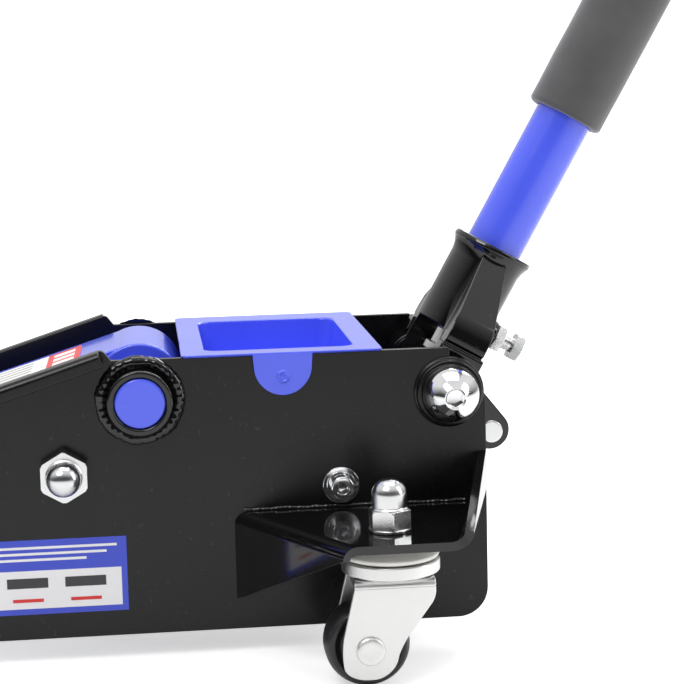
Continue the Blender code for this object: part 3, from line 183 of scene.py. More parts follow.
def makeFinish(name, colour, second, rough, metallic=0.0, coat=0.0, fine=900, broad=18, relief=0.05,
               depth=0.0001, specks=0.0, stretch=(1, 1, 1), sheen=0.0, specular=0.5):
    material = bpy.data.materials.new(name)
    material.use_nodes = True
    tree, link = material.node_tree.nodes, material.node_tree.links.new
    shader = tree["Principled BSDF"]
    grain = tree.new("ShaderNodeGroup")
    grain.node_tree = grainGroup
    grain.inputs["Colour"].default_value = (*colour, 1)
    grain.inputs["Second Colour"].default_value = (*second, 1)
    grain.inputs["Fine Scale"].default_value = fine
    grain.inputs["Broad Scale"].default_value = broad
    grain.inputs["Roughness Low"].default_value, grain.inputs["Roughness High"].default_value = rough
    grain.inputs["Specks"].default_value = specks
    grain.inputs["Stretch"].default_value = stretch
    bump = tree.new("ShaderNodeBump")
    bump.inputs["Strength"].default_value = relief
    bump.inputs["Distance"].default_value = depth
    link(grain.outputs["Colour"], shader.inputs["Base Color"])
    link(grain.outputs["Roughness"], shader.inputs["Roughness"])
    link(grain.outputs["Height"], bump.inputs["Height"])
    link(bump.outputs["Normal"], shader.inputs["Normal"])
    shader.inputs["Metallic"].default_value = metallic
    shader.inputs["Coat Weight"].default_value = coat
    shader.inputs["Coat Roughness"].default_value = 0.06
    shader.inputs["Sheen Weight"].default_value = sheen
    shader.inputs["Specular IOR Level"].default_value = specular
    return material


finishLooks = {
    "blackGloss": dict(colour=(0.003, 0.003, 0.0035), second=(0.005, 0.005, 0.0055), rough=(0.07, 0.12),
                       fine=420, relief=0.06, depth=0.0002, specks=0.02, coat=0.3),
    "blackPlate": dict(colour=(0.003, 0.003, 0.0035), second=(0.0045, 0.0045, 0.005), rough=(0.24, 0.32),
                       fine=520, relief=0.14, depth=0.0002, specks=0.03, specular=0.40),
    "blueGloss": dict(colour=(0.080, 0.122, 0.90), second=(0.092, 0.136, 0.94), rough=(0.16, 0.24),
                      fine=380, relief=0.07, depth=0.0002, specks=0.03, coat=0.5),
    "zincPlate": dict(colour=(0.74, 0.75, 0.77), second=(0.84, 0.84, 0.83), rough=(0.16, 0.30), metallic=1.0,
                      fine=1400, broad=60, relief=0.16, depth=0.0001),
    "brightChrome": dict(colour=(0.80, 0.81, 0.83), second=(0.90, 0.90, 0.91), rough=(0.05, 0.12),
                         metallic=1.0, fine=900, broad=90, relief=0.06, depth=0.0001),
    "pressedZinc": dict(colour=(0.78, 0.78, 0.77), second=(0.86, 0.86, 0.85), rough=(0.30, 0.42),
                        metallic=1.0, fine=1100, broad=35, relief=0.14, depth=0.0001),
    "creamRace": dict(colour=(0.90, 0.89, 0.84), second=(0.94, 0.93, 0.90), rough=(0.28, 0.38),
                      metallic=0.05, fine=1000, broad=50, relief=0.08),
    "turnedSteel": dict(colour=(0.50, 0.50, 0.51), second=(0.62, 0.62, 0.62), rough=(0.22, 0.36),
                        metallic=1.0, fine=500, broad=40, relief=0.12, stretch=(3, 3, 12)),
    "castIron": dict(colour=(0.035, 0.036, 0.038), second=(0.06, 0.06, 0.062), rough=(0.50, 0.65),
                     metallic=0.35, fine=650, broad=30, relief=0.5, depth=0.0004),
    "nylon": dict(colour=(0.012, 0.012, 0.013), second=(0.02, 0.02, 0.021), rough=(0.24, 0.36), relief=0.12),
    "foam": dict(colour=(0.060, 0.060, 0.061), second=(0.078, 0.078, 0.079), rough=(0.62, 0.74),
                 fine=1500, broad=45, relief=0.45, depth=0.0003, sheen=0.5),
    "rubber": dict(colour=(0.016, 0.016, 0.017), second=(0.024, 0.024, 0.025), rough=(0.5, 0.62),
                   fine=1200, relief=0.3),
    "labelWhite": dict(colour=(0.90, 0.89, 0.91), second=(0.94, 0.93, 0.94), rough=(0.35, 0.45)),
    "labelBlue": dict(colour=(0.05, 0.08, 0.62), second=(0.06, 0.10, 0.68), rough=(0.3, 0.4)),
    "labelInk": dict(colour=(0.04, 0.04, 0.045), second=(0.07, 0.07, 0.07), rough=(0.35, 0.45)),
    "labelGrey": dict(colour=(0.38, 0.38, 0.36), second=(0.46, 0.46, 0.44), rough=(0.35, 0.45)),
    "labelRed": dict(colour=(0.72, 0.03, 0.03), second=(0.80, 0.05, 0.04), rough=(0.3, 0.4)),
    "paleFloor": dict(colour=(0.88, 0.88, 0.88), second=(0.92, 0.92, 0.92), rough=(0.6, 0.7), fine=60,
                      broad=3, relief=0.02),
}
for name, look in finishLooks.items():
    if name.startswith("label"):  # printed film, nearly smooth
        look.update(fine=700, relief=0.04)
finishes = {name: makeFinish(name, **look) for name, look in finishLooks.items()}


floorGlow = 0.55


def brightenFloor(material):
    # an evenly white floor to the eye, without lighting the jack any more than the lamps do
    tree, link = material.node_tree.nodes, material.node_tree.links.new
    path, share = tree.new("ShaderNodeLightPath"), tree.new("ShaderNodeMath")
    share.operation = "MULTIPLY"
    share.inputs[1].default_value = floorGlow
    shader = tree["Principled BSDF"]
    shader.inputs["Emission Color"].default_value = (1, 1, 1, 1)
    link(path.outputs["Is Camera Ray"], share.inputs[0])
    link(share.outputs[0], shader.inputs["Emission Strength"])


brightenFloor(finishes["paleFloor"])
print("finishes ready:", len(finishes))


# shapes
def vertsOf(geom):
    return [part for part in geom if isinstance(part, bmesh.types.BMVert)]


def joinShape(piece, shape, place, material=0):
    # move a shape into place and add it to the piece
    shape.transform(place)
    for face in shape.faces:
        face.material_index = material
    mesh = bpy.data.meshes.new("shape")
    shape.to_mesh(mesh)
    shape.free()
    piece.from_mesh(mesh)
    bpy.data.meshes.remove(mesh)


def outlineOf(corners, segments=8):
    # a face through corners (x, y, cut), each corner rounded where its cut isn't 0
    shape = bmesh.new()
    verts = [shape.verts.new((x, y, 0)) for x, y, cut in corners]
    shape.faces.new(verts)
    for vert, (x, y, cut) in zip(verts, corners):
        if cut:
            bmesh.ops.bevel(shape, geom=[vert], offset=cut, offset_type="OFFSET", affect="VERTICES",
                            segments=segments, profile=0.5, material=-1)
    return shape


def softenEdges(shape, width, segments=3, least=30):
    sharp = [edge for edge in shape.edges if len(edge.link_faces) == 2
             and edge.calc_face_angle(0) > math.radians(least)]
    if sharp and width:
        bmesh.ops.bevel(shape, geom=sharp, offset=width, offset_type="OFFSET", affect="EDGES",
                        segments=segments, profile=0.5, material=-1, clamp_overlap=True)


def plateOf(corners, thickness, edge=0.0006, segments=8):
    # an outline given thickness both ways from its plane, with soft edges
    shape = outlineOf(corners, segments)
    grown = bmesh.ops.extrude_face_region(shape, geom=shape.faces[:])
    bmesh.ops.translate(shape, vec=(0, 0, thickness), verts=vertsOf(grown["geom"]))
    bmesh.ops.translate(shape, vec=(0, 0, -thickness / 2), verts=shape.verts)
    bmesh.ops.recalc_face_normals(shape, faces=shape.faces)
    softenEdges(shape, edge)
    return shape


def blockOf(left, right, low, high, thickness, cut=0, edge=0, segments=8):
    # a flat block with its four corners cut alike
    return plateOf([(left, low, cut), (right, low, cut), (right, high, cut), (left, high, cut)],
                   thickness, edge, segments)


def turnedOf(profile, soft=0, steps=72):
    # a closed profile of (radius, height, cut) turned about local Z
    shape = outlineOf(profile, 6)
    bmesh.ops.rotate(shape, cent=(0, 0, 0), matrix=Matrix.Rotation(math.pi / 2, 3, "X"), verts=shape.verts)
    bmesh.ops.delete(shape, geom=shape.faces[:], context="FACES_ONLY")
    onAxis = [edge for edge in shape.edges if all(vert.co.x < 1e-6 for vert in edge.verts)]
    bmesh.ops.delete(shape, geom=onAxis, context="EDGES")
    bmesh.ops.spin(shape, geom=shape.verts[:] + shape.edges[:], cent=(0, 0, 0), axis=(0, 0, 1),
                   dvec=(0, 0, 0), angle=2 * math.pi, steps=steps, use_merge=True, use_duplicate=False)
    bmesh.ops.remove_doubles(shape, verts=shape.verts, dist=1e-6)
    bmesh.ops.recalc_face_normals(shape, faces=shape.faces)
    softenEdges(shape, soft, 2)
    return shape


def barOf(radius, length, chamfer=0.0006, steps=48):
    # a round bar from local Z 0 up
    return turnedOf([(0, 0, 0), (radius, 0, chamfer), (radius, length, chamfer), (0, length, 0)], 0, steps)


def sleeveOf(inner, outer, low, high, innerCut, outerCut, steps=72):
    # a washer or tube between two radii and two heights
    return turnedOf([(inner, low, innerCut), (outer, low, outerCut), (outer, high, outerCut),
                     (inner, high, innerCut)], 0, steps)


def hexOf(flats, height, chamfer=0.0012, edge=0.0003):
    shape = bmesh.new()
    corner = flats / 2 / math.cos(math.pi / 6)
    bmesh.ops.create_cone(shape, cap_ends=True, cap_tris=False, segments=6, radius1=corner, radius2=corner,
                          depth=height, matrix=Matrix.Translation((0, 0, height / 2)))
    top = [vert for vert in shape.verts if vert.co.z > height / 2]
    bmesh.ops.bevel(shape, geom=top, offset=chamfer, offset_type="OFFSET", affect="VERTICES",
                    segments=1, profile=0.5, material=-1)
    softenEdges(shape, edge, 2, 20)
    return shape


def makePiece(piece, name, finish, body, stands=(), angle=35, weighted=True, extra=()):
    # close the mesh, give it its finish and hang it on its body
    bmesh.ops.remove_doubles(piece, verts=piece.verts, dist=1e-6)
    bmesh.ops.recalc_face_normals(piece, faces=piece.faces)
    mesh = bpy.data.meshes.new(name)
    piece.to_mesh(mesh)
    piece.free()
    mesh.shade_smooth()
    mesh.set_sharp_from_angle(angle=math.radians(angle))
    made = bpy.data.objects.new(name, mesh)
    bpy.context.scene.collection.objects.link(made)
    for key in (finish, *extra):
        mesh.materials.append(finishes[key])
    if weighted:
        even = made.modifiers.new("evenShading", "WEIGHTED_NORMAL")
        even.keep_sharp = True
    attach(made, body)
    if stands:
        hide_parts(*stands)
    return made


filmThickness = 0.00016  # printed labels


def bothSides():
    return (("left", -1), ("right", 1))


# side plates
plateLook = {"edge": 0.0007, "lipWidth": 0.0100, "lipDrop": 0.0088, "lipWall": 0.0035,
             "rearX": 0.205, "top": 0.1805, "rampX": -0.021, "rampZ": 0.187, "noseTop": 0.075,
             "slope": math.radians(17.4), "frontX": -0.530, "bottom": 0.0155}


def makeSidePlate(label, side):
    look = plateLook
    rampEnd = look["rampX"] - (look["rampZ"] - look["noseTop"]) / math.tan(look["slope"])
    corners = [(look["rearX"], look["bottom"], 0.018), (look["rearX"], 0.1628, 0.0167), (0.1896, 0.1695, 0),
               (0.1836, 0.1702, 0.0006), (0.1836, look["top"], 0.0012), (-0.016, look["top"], 0),
               (look["rampX"], look["rampZ"], 0.002), (rampEnd, look["noseTop"], 0.006),
               (look["frontX"], look["noseTop"], 0.028), (look["frontX"], look["bottom"], 0.016)]
    piece = bmesh.new()
    place = axes(at(0, side * (plateOuter - plateWall / 2), 0), (1, 0, 0), (0, 0, 1))
    joinShape(piece, plateOf(corners, plateWall, look["edge"], 12), place)
    # turned-out lip along the sloping edge, with a rounded rear end
    down = Vector((-math.cos(look["slope"]), 0, -math.sin(look["slope"])))
    up = Vector((-math.sin(look["slope"]), 0, math.cos(look["slope"])))
    length = (look["rampX"] - rampEnd) / math.cos(look["slope"])
    wide, drop, wall = look["lipWidth"], look["lipDrop"], look["lipWall"]
    section = [(-0.003, 0.0006, 0), (wide, 0.0006, 0.0040), (wide, -drop, 0.0012),
               (wide - wall, -drop, 0.0008), (wide - wall, -wall, 0.0010), (-0.003, -wall, 0)]
    section = [(side * y, z, cut) for y, z, cut in section]
    start = at(look["rampX"], side * plateOuter, look["rampZ"]) + down * (length / 2 + 0.0005)
    lip = plateOf(section, length - 0.003, 0.0012)
    joinShape(piece, lip, axes(start, (0, 1, 0), up))
    # stepped rings round the handle pivot
    face = Vector((pivot.x, side * (plateOuter - 0.001), pivot.z))
    rings = [(0.0100, 0, 0), (0.0212, 0, 0), (0.0212, 0.0022, 0.0008), (0.0196, 0.0030, 0.0005),
             (0.0196, 0.0062, 0.0010), (0.0172, 0.0068, 0.0005), (0.0172, 0.0098, 0.0012),
             (0.0140, 0.0110, 0.0006), (0.0100, 0.0110, 0)]
    joinShape(piece, turnedOf(rings, 0.0003), facing(face, (0, side, 0)))
    return makePiece(piece, "plate_" + label, "blackPlate", "frame", ["side_plate_" + label])


# caster brackets
bracketLook = {"top": 0.0874, "thickness": 0.005, "bend": 0.0080, "outerY": 0.181, "inner": (0.053, 0.2040),
               "outer": (0.107, 0.179), "frontDrop": (0.0533, 0.0080), "rearRise": (0.0300, 0.0060),
               "rearShift": 0.87, "weld": 0.0016}


def makeBracket(label, side):
    look = bracketLook
    near, far, top = side * (plateOuter + plateGap), side * look["outerY"], look["top"]
    shift = look["thickness"] * look["rearShift"]  # keeps the rear flange's outer face on the ledge's edge
    inner, outer = look["inner"], look["outer"]
    points = {"A": (inner[0], near, top), "B": (outer[0], far, top), "C": (outer[1] - shift, far, top),
              "D": (inner[1] - shift, near, top), "frontLow": (inner[0], near, top - look["frontDrop"][0]),
              "frontTip": (outer[0], far, top - look["frontDrop"][1]),
              "rearTip": (outer[1] - shift, far, top + look["rearRise"][1]),
              "rearTop": (inner[1] - shift, near, top + look["rearRise"][0])}
    shape = bmesh.new()
    verts = {key: shape.verts.new(at(*point)) for key, point in points.items()}
    for loop in ("A B C D", "frontLow frontTip B A", "D C rearTip rearTop"):
        shape.faces.new([verts[key] for key in loop.split()])
    bmesh.ops.recalc_face_normals(shape, faces=shape.faces)
    shape.faces.ensure_lookup_table()
    if shape.faces[0].normal.z < 0:
        bmesh.ops.reverse_faces(shape, faces=shape.faces)
    folds = [edge for edge in shape.edges if len(edge.link_faces) == 2]
    bmesh.ops.bevel(shape, geom=folds, offset=look["bend"], offset_type="OFFSET", affect="EDGES", segments=8,
                    profile=0.5, material=-1)
    bmesh.ops.solidify(shape, geom=shape.faces[:], thickness=look["thickness"])
    bmesh.ops.recalc_face_normals(shape, faces=shape.faces)
    softenEdges(shape, 0.0012, 3, 50)
    piece = bmesh.new()
    joinShape(piece, shape, Matrix.Identity(4))
    # weld along the plate, above the ledge
    weldStart, weldEnd = (at(x, near, top + 0.0004) for x in (inner[0] + 0.006, inner[1] - 0.012))
    joinShape(piece, beadOf(weldStart, weldEnd, look["weld"]), Matrix.Identity(4))
    return makePiece(piece, "bracket_" + label, "blackGloss", "frame", ["caster_bracket_" + label], 50)


beadLook = {"step": 0.0009, "sides": 12, "ripple": 0.16, "rippleRate": 2340, "lump": 0.35, "lumpRate": 260}


def beadOf(start, end, radius):
    # a weld bead: a bar along local X whose rings swell and shrink
    look = beadLook
    start, end = Vector(start), Vector(end)
    length = (end - start).length
    shape = bmesh.new()
    bmesh.ops.create_circle(shape, cap_ends=False, segments=look["sides"], radius=radius)
    bmesh.ops.rotate(shape, cent=(0, 0, 0), matrix=Matrix.Rotation(math.pi / 2, 3, "Y"), verts=shape.verts)
    ring = shape.edges[:]
    for _ in range(int(length / look["step"])):
        grown = bmesh.ops.extrude_edge_only(shape, edges=ring)["geom"]
        ring = [part for part in grown if isinstance(part, bmesh.types.BMEdge)]
        bmesh.ops.translate(shape, vec=(look["step"], 0, 0), verts=vertsOf(grown))
    bmesh.ops.holes_fill(shape, edges=shape.edges, sides=look["sides"])
    for vert in shape.verts:
        ripple = look["ripple"] * math.sin(vert.co.x * look["rippleRate"])
        swell = 1 + ripple + look["lump"] * noise.noise(vert.co * look["lumpRate"])
        vert.co.y, vert.co.z = vert.co.y * swell, vert.co.z * swell
    shape.transform(axes(start, end - start, (0, 0, 1)))
    return shape


# lift shaft and its bearing rings
ringLook = {"outer": 0.0192, "bore": 0.0152, "out": 0.0137, "weld": 0.0235, "weldRadius": 0.0038,
            "ripple": 0.05, "ripples": 34, "lump": 0.26, "lumpRate": 130}


def makeLiftRing(label, side):
    look = ringLook
    place = onPlate(middleOf("lift_shaft"), side)
    piece = bmesh.new()
    bore, outer, out = look["bore"], look["outer"], look["out"]
    ring = [(bore, 0, 0), (outer + 0.0015, 0, 0), (outer, 0.004, 0.001), (outer, out, 0.0014),
            (bore, out, 0.0012)]
    joinShape(piece, turnedOf(ring), place)
    # lumpy weld bead round its foot
    weld = bmesh.new()
    bmesh.ops.create_circle(weld, cap_ends=False, segments=14, radius=look["weldRadius"])
    bmesh.ops.rotate(weld, cent=(0, 0, 0), matrix=Matrix.Rotation(math.pi / 2, 3, "X"), verts=weld.verts)
    bmesh.ops.translate(weld, vec=(look["weld"] - 0.0008, 0, 0.0002), verts=weld.verts)
    bmesh.ops.spin(weld, geom=weld.verts[:] + weld.edges[:], cent=(0, 0, 0), axis=(0, 0, 1), dvec=(0, 0, 0),
                   angle=2 * math.pi, steps=150, use_merge=True, use_duplicate=False)
    for vert in weld.verts:
        turn = math.atan2(vert.co.y, vert.co.x)
        core = Vector((math.cos(turn), math.sin(turn), 0)) * look["weld"]
        lump = look["lump"] * noise.noise(vert.co * look["lumpRate"] + Vector((side * 3, 0, 0)))
        swell = 1 + look["ripple"] * math.sin(turn * look["ripples"]) + lump
        vert.co = core + (vert.co - core) * swell
        vert.co.z = max(vert.co.z, 0.0)
    joinShape(piece, weld, place)
    makePiece(piece, "liftRing_" + label, "blackGloss", "frame", ["lift_boss_" + label], 60, False)


def makeLiftShaft():
    reach = reachOf("lift_shaft")
    piece = bmesh.new()
    joinShape(piece, barOf(reach.x / 2, reach.y, 0.0016, 72), through("lift_shaft"))
    makePiece(piece, "liftShaft", "blueGloss", "lift_arm", ["lift_shaft"])


# nuts, screws and the handle's pivot bolts
tieNutLook = {"flats": 0.0270, "hex": 0.0110, "dome": 0.0100, "height": 0.0255, "washer": 0.0, "turn": 0.0}
casterNutLook = {"flats": 0.0220, "hex": 0.0110, "dome": 0.0100, "height": 0.0295, "washer": 0.0016,
                 "turn": 0.06}


def makeCapNut(name, node, place, look):
    piece = bmesh.new()
    washer, dome, height = look["washer"], look["dome"], look["height"]
    if washer:
        joinShape(piece, barOf(look["flats"] / 2 + 0.0012, washer, 0.0003, 72), place)
    raised = place @ Matrix.Translation((0, 0, washer)) @ Matrix.Rotation(look["turn"], 4, "Z")
    joinShape(piece, hexOf(look["flats"], look["hex"], 0.0016), raised)
    waist, low = dome + 0.0009, washer + look["hex"]
    cap = [(0, low - 0.002, 0), (waist, low - 0.002, 0), (waist, low + 0.0004, 0.0003),
           (dome, low + 0.0012, 0.0004), (dome, height, dome * 0.86), (0, height, 0)]
    joinShape(piece, turnedOf(cap), place)
    makePiece(piece, name, "zincPlate", "frame", [node])


def makeFasteners():
    for label, side in bothSides():
        node = "tie_rod_nut_" + label
        makeCapNut("tieRodNut_" + label, node, onPlate(middleOf(node), side), tieNutLook)
        node = "caster_nut_" + label
        nut = middleOf(node)
        seat = facing((nut.x, nut.y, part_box(node)[0].z), (0, 0, 1))
        makeCapNut("casterNut_" + label, node, seat, casterNutLook)
        makeMountingScrew(label, side)
        makePivotBolt(label, side)


screwLook = {"washers": ((0, 0.0015, 0.0109), (0.0016, 0.0031, 0.0086)), "hole": 0.0040, "head": 0.00685,
             "seat": 0.0032, "top": 0.0110, "socket": 0.0037, "flats": 0.0060}


def makeMountingScrew(label, side):
    look = screwLook
    place = onPlate(middleOf("mounting_screw_" + label), side)
    piece = bmesh.new()
    for low, high, radius in look["washers"]:
        joinShape(piece, sleeveOf(look["hole"], radius, low, high, 0, 0.0003), place)
    seat, top, socket = look["seat"], look["top"], look["socket"]
    head = [(0, seat, 0), (look["head"], seat, 0.0002), (look["head"], top, 0.0009), (socket, top, 0.0003),
            (socket, seat + 0.0018, 0), (0, seat + 0.0014, 0)]
    joinShape(piece, turnedOf(head), place)
    joinShape(piece, sleeveHex(look["flats"], look["hole"], seat + 0.0018, top - 0.0002), place)
    makePiece(piece, "mountingScrew_" + label, "brightChrome", "frame", ["mounting_screw_" + label])


def sleeveHex(flats, outer, low, high):
    # the six flat walls of a socket, inside a round wall
    shape = bmesh.new()
    corner = flats / 2 / math.cos(math.pi / 6)
    bmesh.ops.create_circle(shape, cap_ends=False, segments=6, radius=corner)
    bmesh.ops.translate(shape, vec=(0, 0, high), verts=shape.verts)
    inner = shape.edges[:]
    bmesh.ops.create_circle(shape, cap_ends=False, segments=36, radius=outer,
                            matrix=Matrix.Translation((0, 0, high)))
    outerEdges = [edge for edge in shape.edges if edge not in inner]
    bmesh.ops.bridge_loops(shape, edges=inner + outerEdges)
    walls = bmesh.ops.extrude_edge_only(shape, edges=inner)["geom"]
    bmesh.ops.translate(shape, vec=(0, 0, low - high), verts=vertsOf(walls))
    return shape


boltLook = {"height": 0.0155, "shank": 0.008, "mouth": 0.0060, "socket": 0.0052, "flats": 0.0088}


def makePivotBolt(label, side):
    look = boltLook
    low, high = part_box("pivot_bolt_" + label)
    height = look["height"]
    seat = max(abs(low.y), abs(high.y)) - height
    shank = seat - min(abs(low.y), abs(high.y))
    wide = (high.x - low.x) / 2
    head = [(0, -shank, 0), (look["shank"], -shank, 0.0006), (look["shank"], 0, 0), (wide, 0, 0.0004),
            (wide, 0.0036, 0.0016), (wide - 0.0028, 0.0098, 0.0040), (wide - 0.0078, 0.0142, 0.0030),
            (look["mouth"] + 0.0006, height, 0.0005), (look["mouth"], height, 0.0003),
            (look["socket"], height - 0.0007, 0.0002), (look["socket"], 0.0080, 0), (0, 0.0074, 0)]
    piece = bmesh.new()
    place = facing((pivot.x, side * seat, pivot.z), (0, side, 0))
    joinShape(piece, turnedOf(head, 0, 96), place)
    joinShape(piece, sleeveHex(look["flats"], 0.0054, 0.0080, height - 0.0009), place)
    makePiece(piece, "pivotBolt_" + label, "brightChrome", "frame", ["pivot_bolt_" + label], 40)


# tray
trayLook = {"x": (0.0248, 0.1434), "half": 0.0868, "wall": 0.0015, "basinX": (0.0392, 0.1285),
            "basinHalf": 0.0660, "depth": 0.030, "tabHalf": 0.0165, "tabDrop": 0.0240, "lift": 0.1808}


def makeTray():
    look = trayLook
    top = look["lift"] + look["wall"]
    x0, x1 = look["x"]
    b0, b1 = look["basinX"]

    def rimOf(left, right, half, cut, height):
        # the border edges of a rounded rectangle at a height
        ring = outlineOf([(left, -half, cut), (right, -half, cut), (right, half, cut), (left, half, cut)], 6)
        bmesh.ops.delete(ring, geom=ring.faces[:], context="FACES_ONLY")
        ring.transform(Matrix.Translation((shaftX, 0, height)))
        return ring

    basin = look["basinHalf"]
    floor = top - look["depth"] - look["wall"]
    # edge of the flange, roll into the basin, its wall, the roll onto its floor
    # each step is left, right, half width, corner and height; the flange is very slightly dished
    rows = ((x0, x1, look["half"], 0.0040, top - 0.0005),
            (x0 + 0.0004, x1 - 0.0004, look["half"] - 0.0004, 0.0040, top),
            (b0 - 0.0012, b1 + 0.0012, basin + 0.0012, 0.0102, top - 0.0006),
            (b0 - 0.0002, b1 + 0.0002, basin + 0.0002, 0.0092, top - 0.0010),
            (b0 + 0.0003, b1 - 0.0003, basin - 0.0003, 0.0090, top - 0.0021),
            (b0 + 0.0028, b1 - 0.0028, basin - 0.0028, 0.0084, floor + 0.0052),
            (b0 + 0.0036, b1 - 0.0036, basin - 0.0036, 0.0080, floor + 0.0024),
            (b0 + 0.0052, b1 - 0.0052, basin - 0.0052, 0.0070, floor + 0.0007),
            (b0 + 0.0080, b1 - 0.0080, basin - 0.0080, 0.0055, floor))
    shape = bmesh.new()
    loops = []
    for row in rows:
        ring = rimOf(*row)
        mesh = bpy.data.meshes.new("ring")
        ring.to_mesh(mesh)
        ring.free()
        known = set(shape.edges)
        shape.from_mesh(mesh)
        bpy.data.meshes.remove(mesh)
        loops.append([edge for edge in shape.edges if edge not in known])
    for upper, lower in zip(loops, loops[1:]):
        bmesh.ops.bridge_loops(shape, edges=upper + lower)
    bmesh.ops.contextual_create(shape, geom=loops[-1])
    bmesh.ops.recalc_face_normals(shape, faces=shape.faces)
    if max(shape.faces, key=lambda face: face.calc_area()).normal.z < 0:
        bmesh.ops.reverse_faces(shape, faces=shape.faces)
    bmesh.ops.solidify(shape, geom=shape.faces[:], thickness=look["wall"])
    piece = bmesh.new()
    joinShape(piece, shape, Matrix.Identity(4))
    middle = (x0 + x1) / 2
    for side in (-1, 1):
        half, drop = look["tabHalf"], look["tabDrop"]
        tab = [(-half - 0.0012, look["wall"] - 0.0003, 0), (-half + 0.0007, -drop, half * 0.96),
               (half - 0.0007, -drop, half * 0.96), (half + 0.0012, look["wall"] - 0.0003, 0)]
        place = axes(at(middle, side * (look["half"] - look["wall"] / 2), look["lift"]), (1, 0, 0), (0, 0, 1))
        joinShape(piece, plateOf(tab, look["wall"], 0.0004, 16), place)
        dimple = [(0, 0, 0), (0.0040, 0, 0), (0.0034, 0.0007, 0.0003), (0.0026, 0.0007, 0.0002),
                  (0.0018, 0.0002, 0.0002), (0.0009, 0.0006, 0.0002), (0, 0.0008, 0)]
        centre = at(middle, side * look["half"], look["lift"] - 0.0130)
        joinShape(piece, turnedOf(dimple, 0, 40), facing(centre, (0, side, 0)))
    makePiece(piece, "tray_top", "blueGloss", "frame", ["tray"], 40)


# lift arm
armLook = {"length": 0.390, "slope": math.radians(14.8), "hub": 0.0275, "hubHalf": 0.0418, "half": 0.0392,
           "wall": 0.006, "eye": 0.012, "bore": 0.0152,
           "bosses": {"lever_pin": 0.0125, "saddle_pin": 0.0118}, "bossBore": 0.0082}
armLabelLook = {"start": 0.030, "long": 0.200, "half": 0.029, "redEnd": 0.022}


def armPlace(y=0.0):
    down, up = math.cos(armLook["slope"]), math.sin(armLook["slope"])
    return axes(at(0, y, liftZ), (-down, 0, -up), (-up, 0, down))


def makeLiftArm():
    look = armLook
    piece = bmesh.new()
    lever = armPlace().inverted() @ middleOf("lever_pin")
    end, hub, eye = look["length"], look["hub"], look["eye"]
    for side in (-1, 1):
        place = armPlace(side * (look["half"] - look["wall"] / 2 - 0.0003))
        wall = [(0.004, hub - 0.0012, 0), (end, eye, 0), (end + eye, eye, 0.0100), (end + eye, -eye, 0.0100),
                (end - 0.03, -eye, 0.004), (0.046, -0.018, 0.006), (0.002, -0.040, 0.004),
                (lever.x + 0.010, lever.y - 0.0125, 0.005), (lever.x - 0.012, lever.y - 0.009, 0.009),
                (-0.026, -0.012, 0.004), (-0.024, 0.014, 0.006)]
        joinShape(piece, plateOf(wall, look["wall"], 0.0008), place)
    reach = end - 0.040
    fall = (hub - eye) / end
    web = [(0, hub - 0.0002, 0), (0, hub - 0.006, 0), (reach, hub - 0.006 - fall * reach, 0.001),
           (reach, hub - fall * reach, 0.0025)]
    joinShape(piece, plateOf(web, 2 * look["half"], 0.0022), armPlace())
    joinShape(piece, sleeveOf(look["bore"], hub, -look["hubHalf"], look["hubHalf"], 0.0005, 0.0018, 96),
              facing(at(0, 0, liftZ), (0, 1, 0)))
    # bosses round the lever pin and the saddle pin
    for node, radius in look["bosses"].items():
        for side in (-1, 1):
            where = middleOf(node)
            start = Vector((where.x, side * (look["half"] - 0.0004), where.z))
            boss = [(look["bossBore"], 0, 0), (radius, 0, 0), (radius, 0.0006, 0.0004),
                    (look["bossBore"], 0.0006, 0)]
            joinShape(piece, turnedOf(boss, 0, 48), facing(start, (0, side, 0)))
    makePiece(piece, "liftArm", "blueGloss", "lift_arm", ["lift_arm"])
    makeArmLabel(hub, fall)


def makeArmLabel(hub, fall):
    # plain label on the web, pale with a red end
    look = armLabelLook
    label = bmesh.new()
    start, half = look["start"], look["half"]
    sheet = armPlace() @ Matrix.Translation((start, hub - fall * start, 0))
    sheet = sheet @ Matrix.Rotation(-math.atan(fall), 4, "Z")
    sheet = sheet @ Matrix.Rotation(-math.pi / 2, 4, "X")  # local X down the arm, local Y across it

    def patch(x0, x1, y0, y1, height, material):
        joinShape(label, blockOf(x0, x1, y0, y1, filmThickness),
                  sheet @ Matrix.Translation((0, 0, height)), material)

    patch(0, look["long"], -half, half, 0.0001, 0)
    patch(0, look["redEnd"], -half, half, 0.0002, 1)
    for row in range(5):
        patch(0.032, 0.185 - 0.021 * (row % 3), -0.023 + row * 0.0105, -0.018 + row * 0.0105, 0.0002, 2)
    for row in range(3):
        patch(0.004, 0.018, -0.021 + row * 0.016, -0.011 + row * 0.016, 0.0003, 3)
    makePiece(label, "armLabel", "labelWhite", "lift_arm", extra=("labelRed", "labelGrey", "labelWhite"))


# handle socket
socketLook = {"rim": 0.0891, "radius": 0.0230, "rimRadius": 0.0255, "bore": 0.0184, "bottom": 0.030,
              "yoke": 0.0660, "cheek": 0.014, "depth": 0.026, "pinBore": 0.0084, "boss": 0.0170}


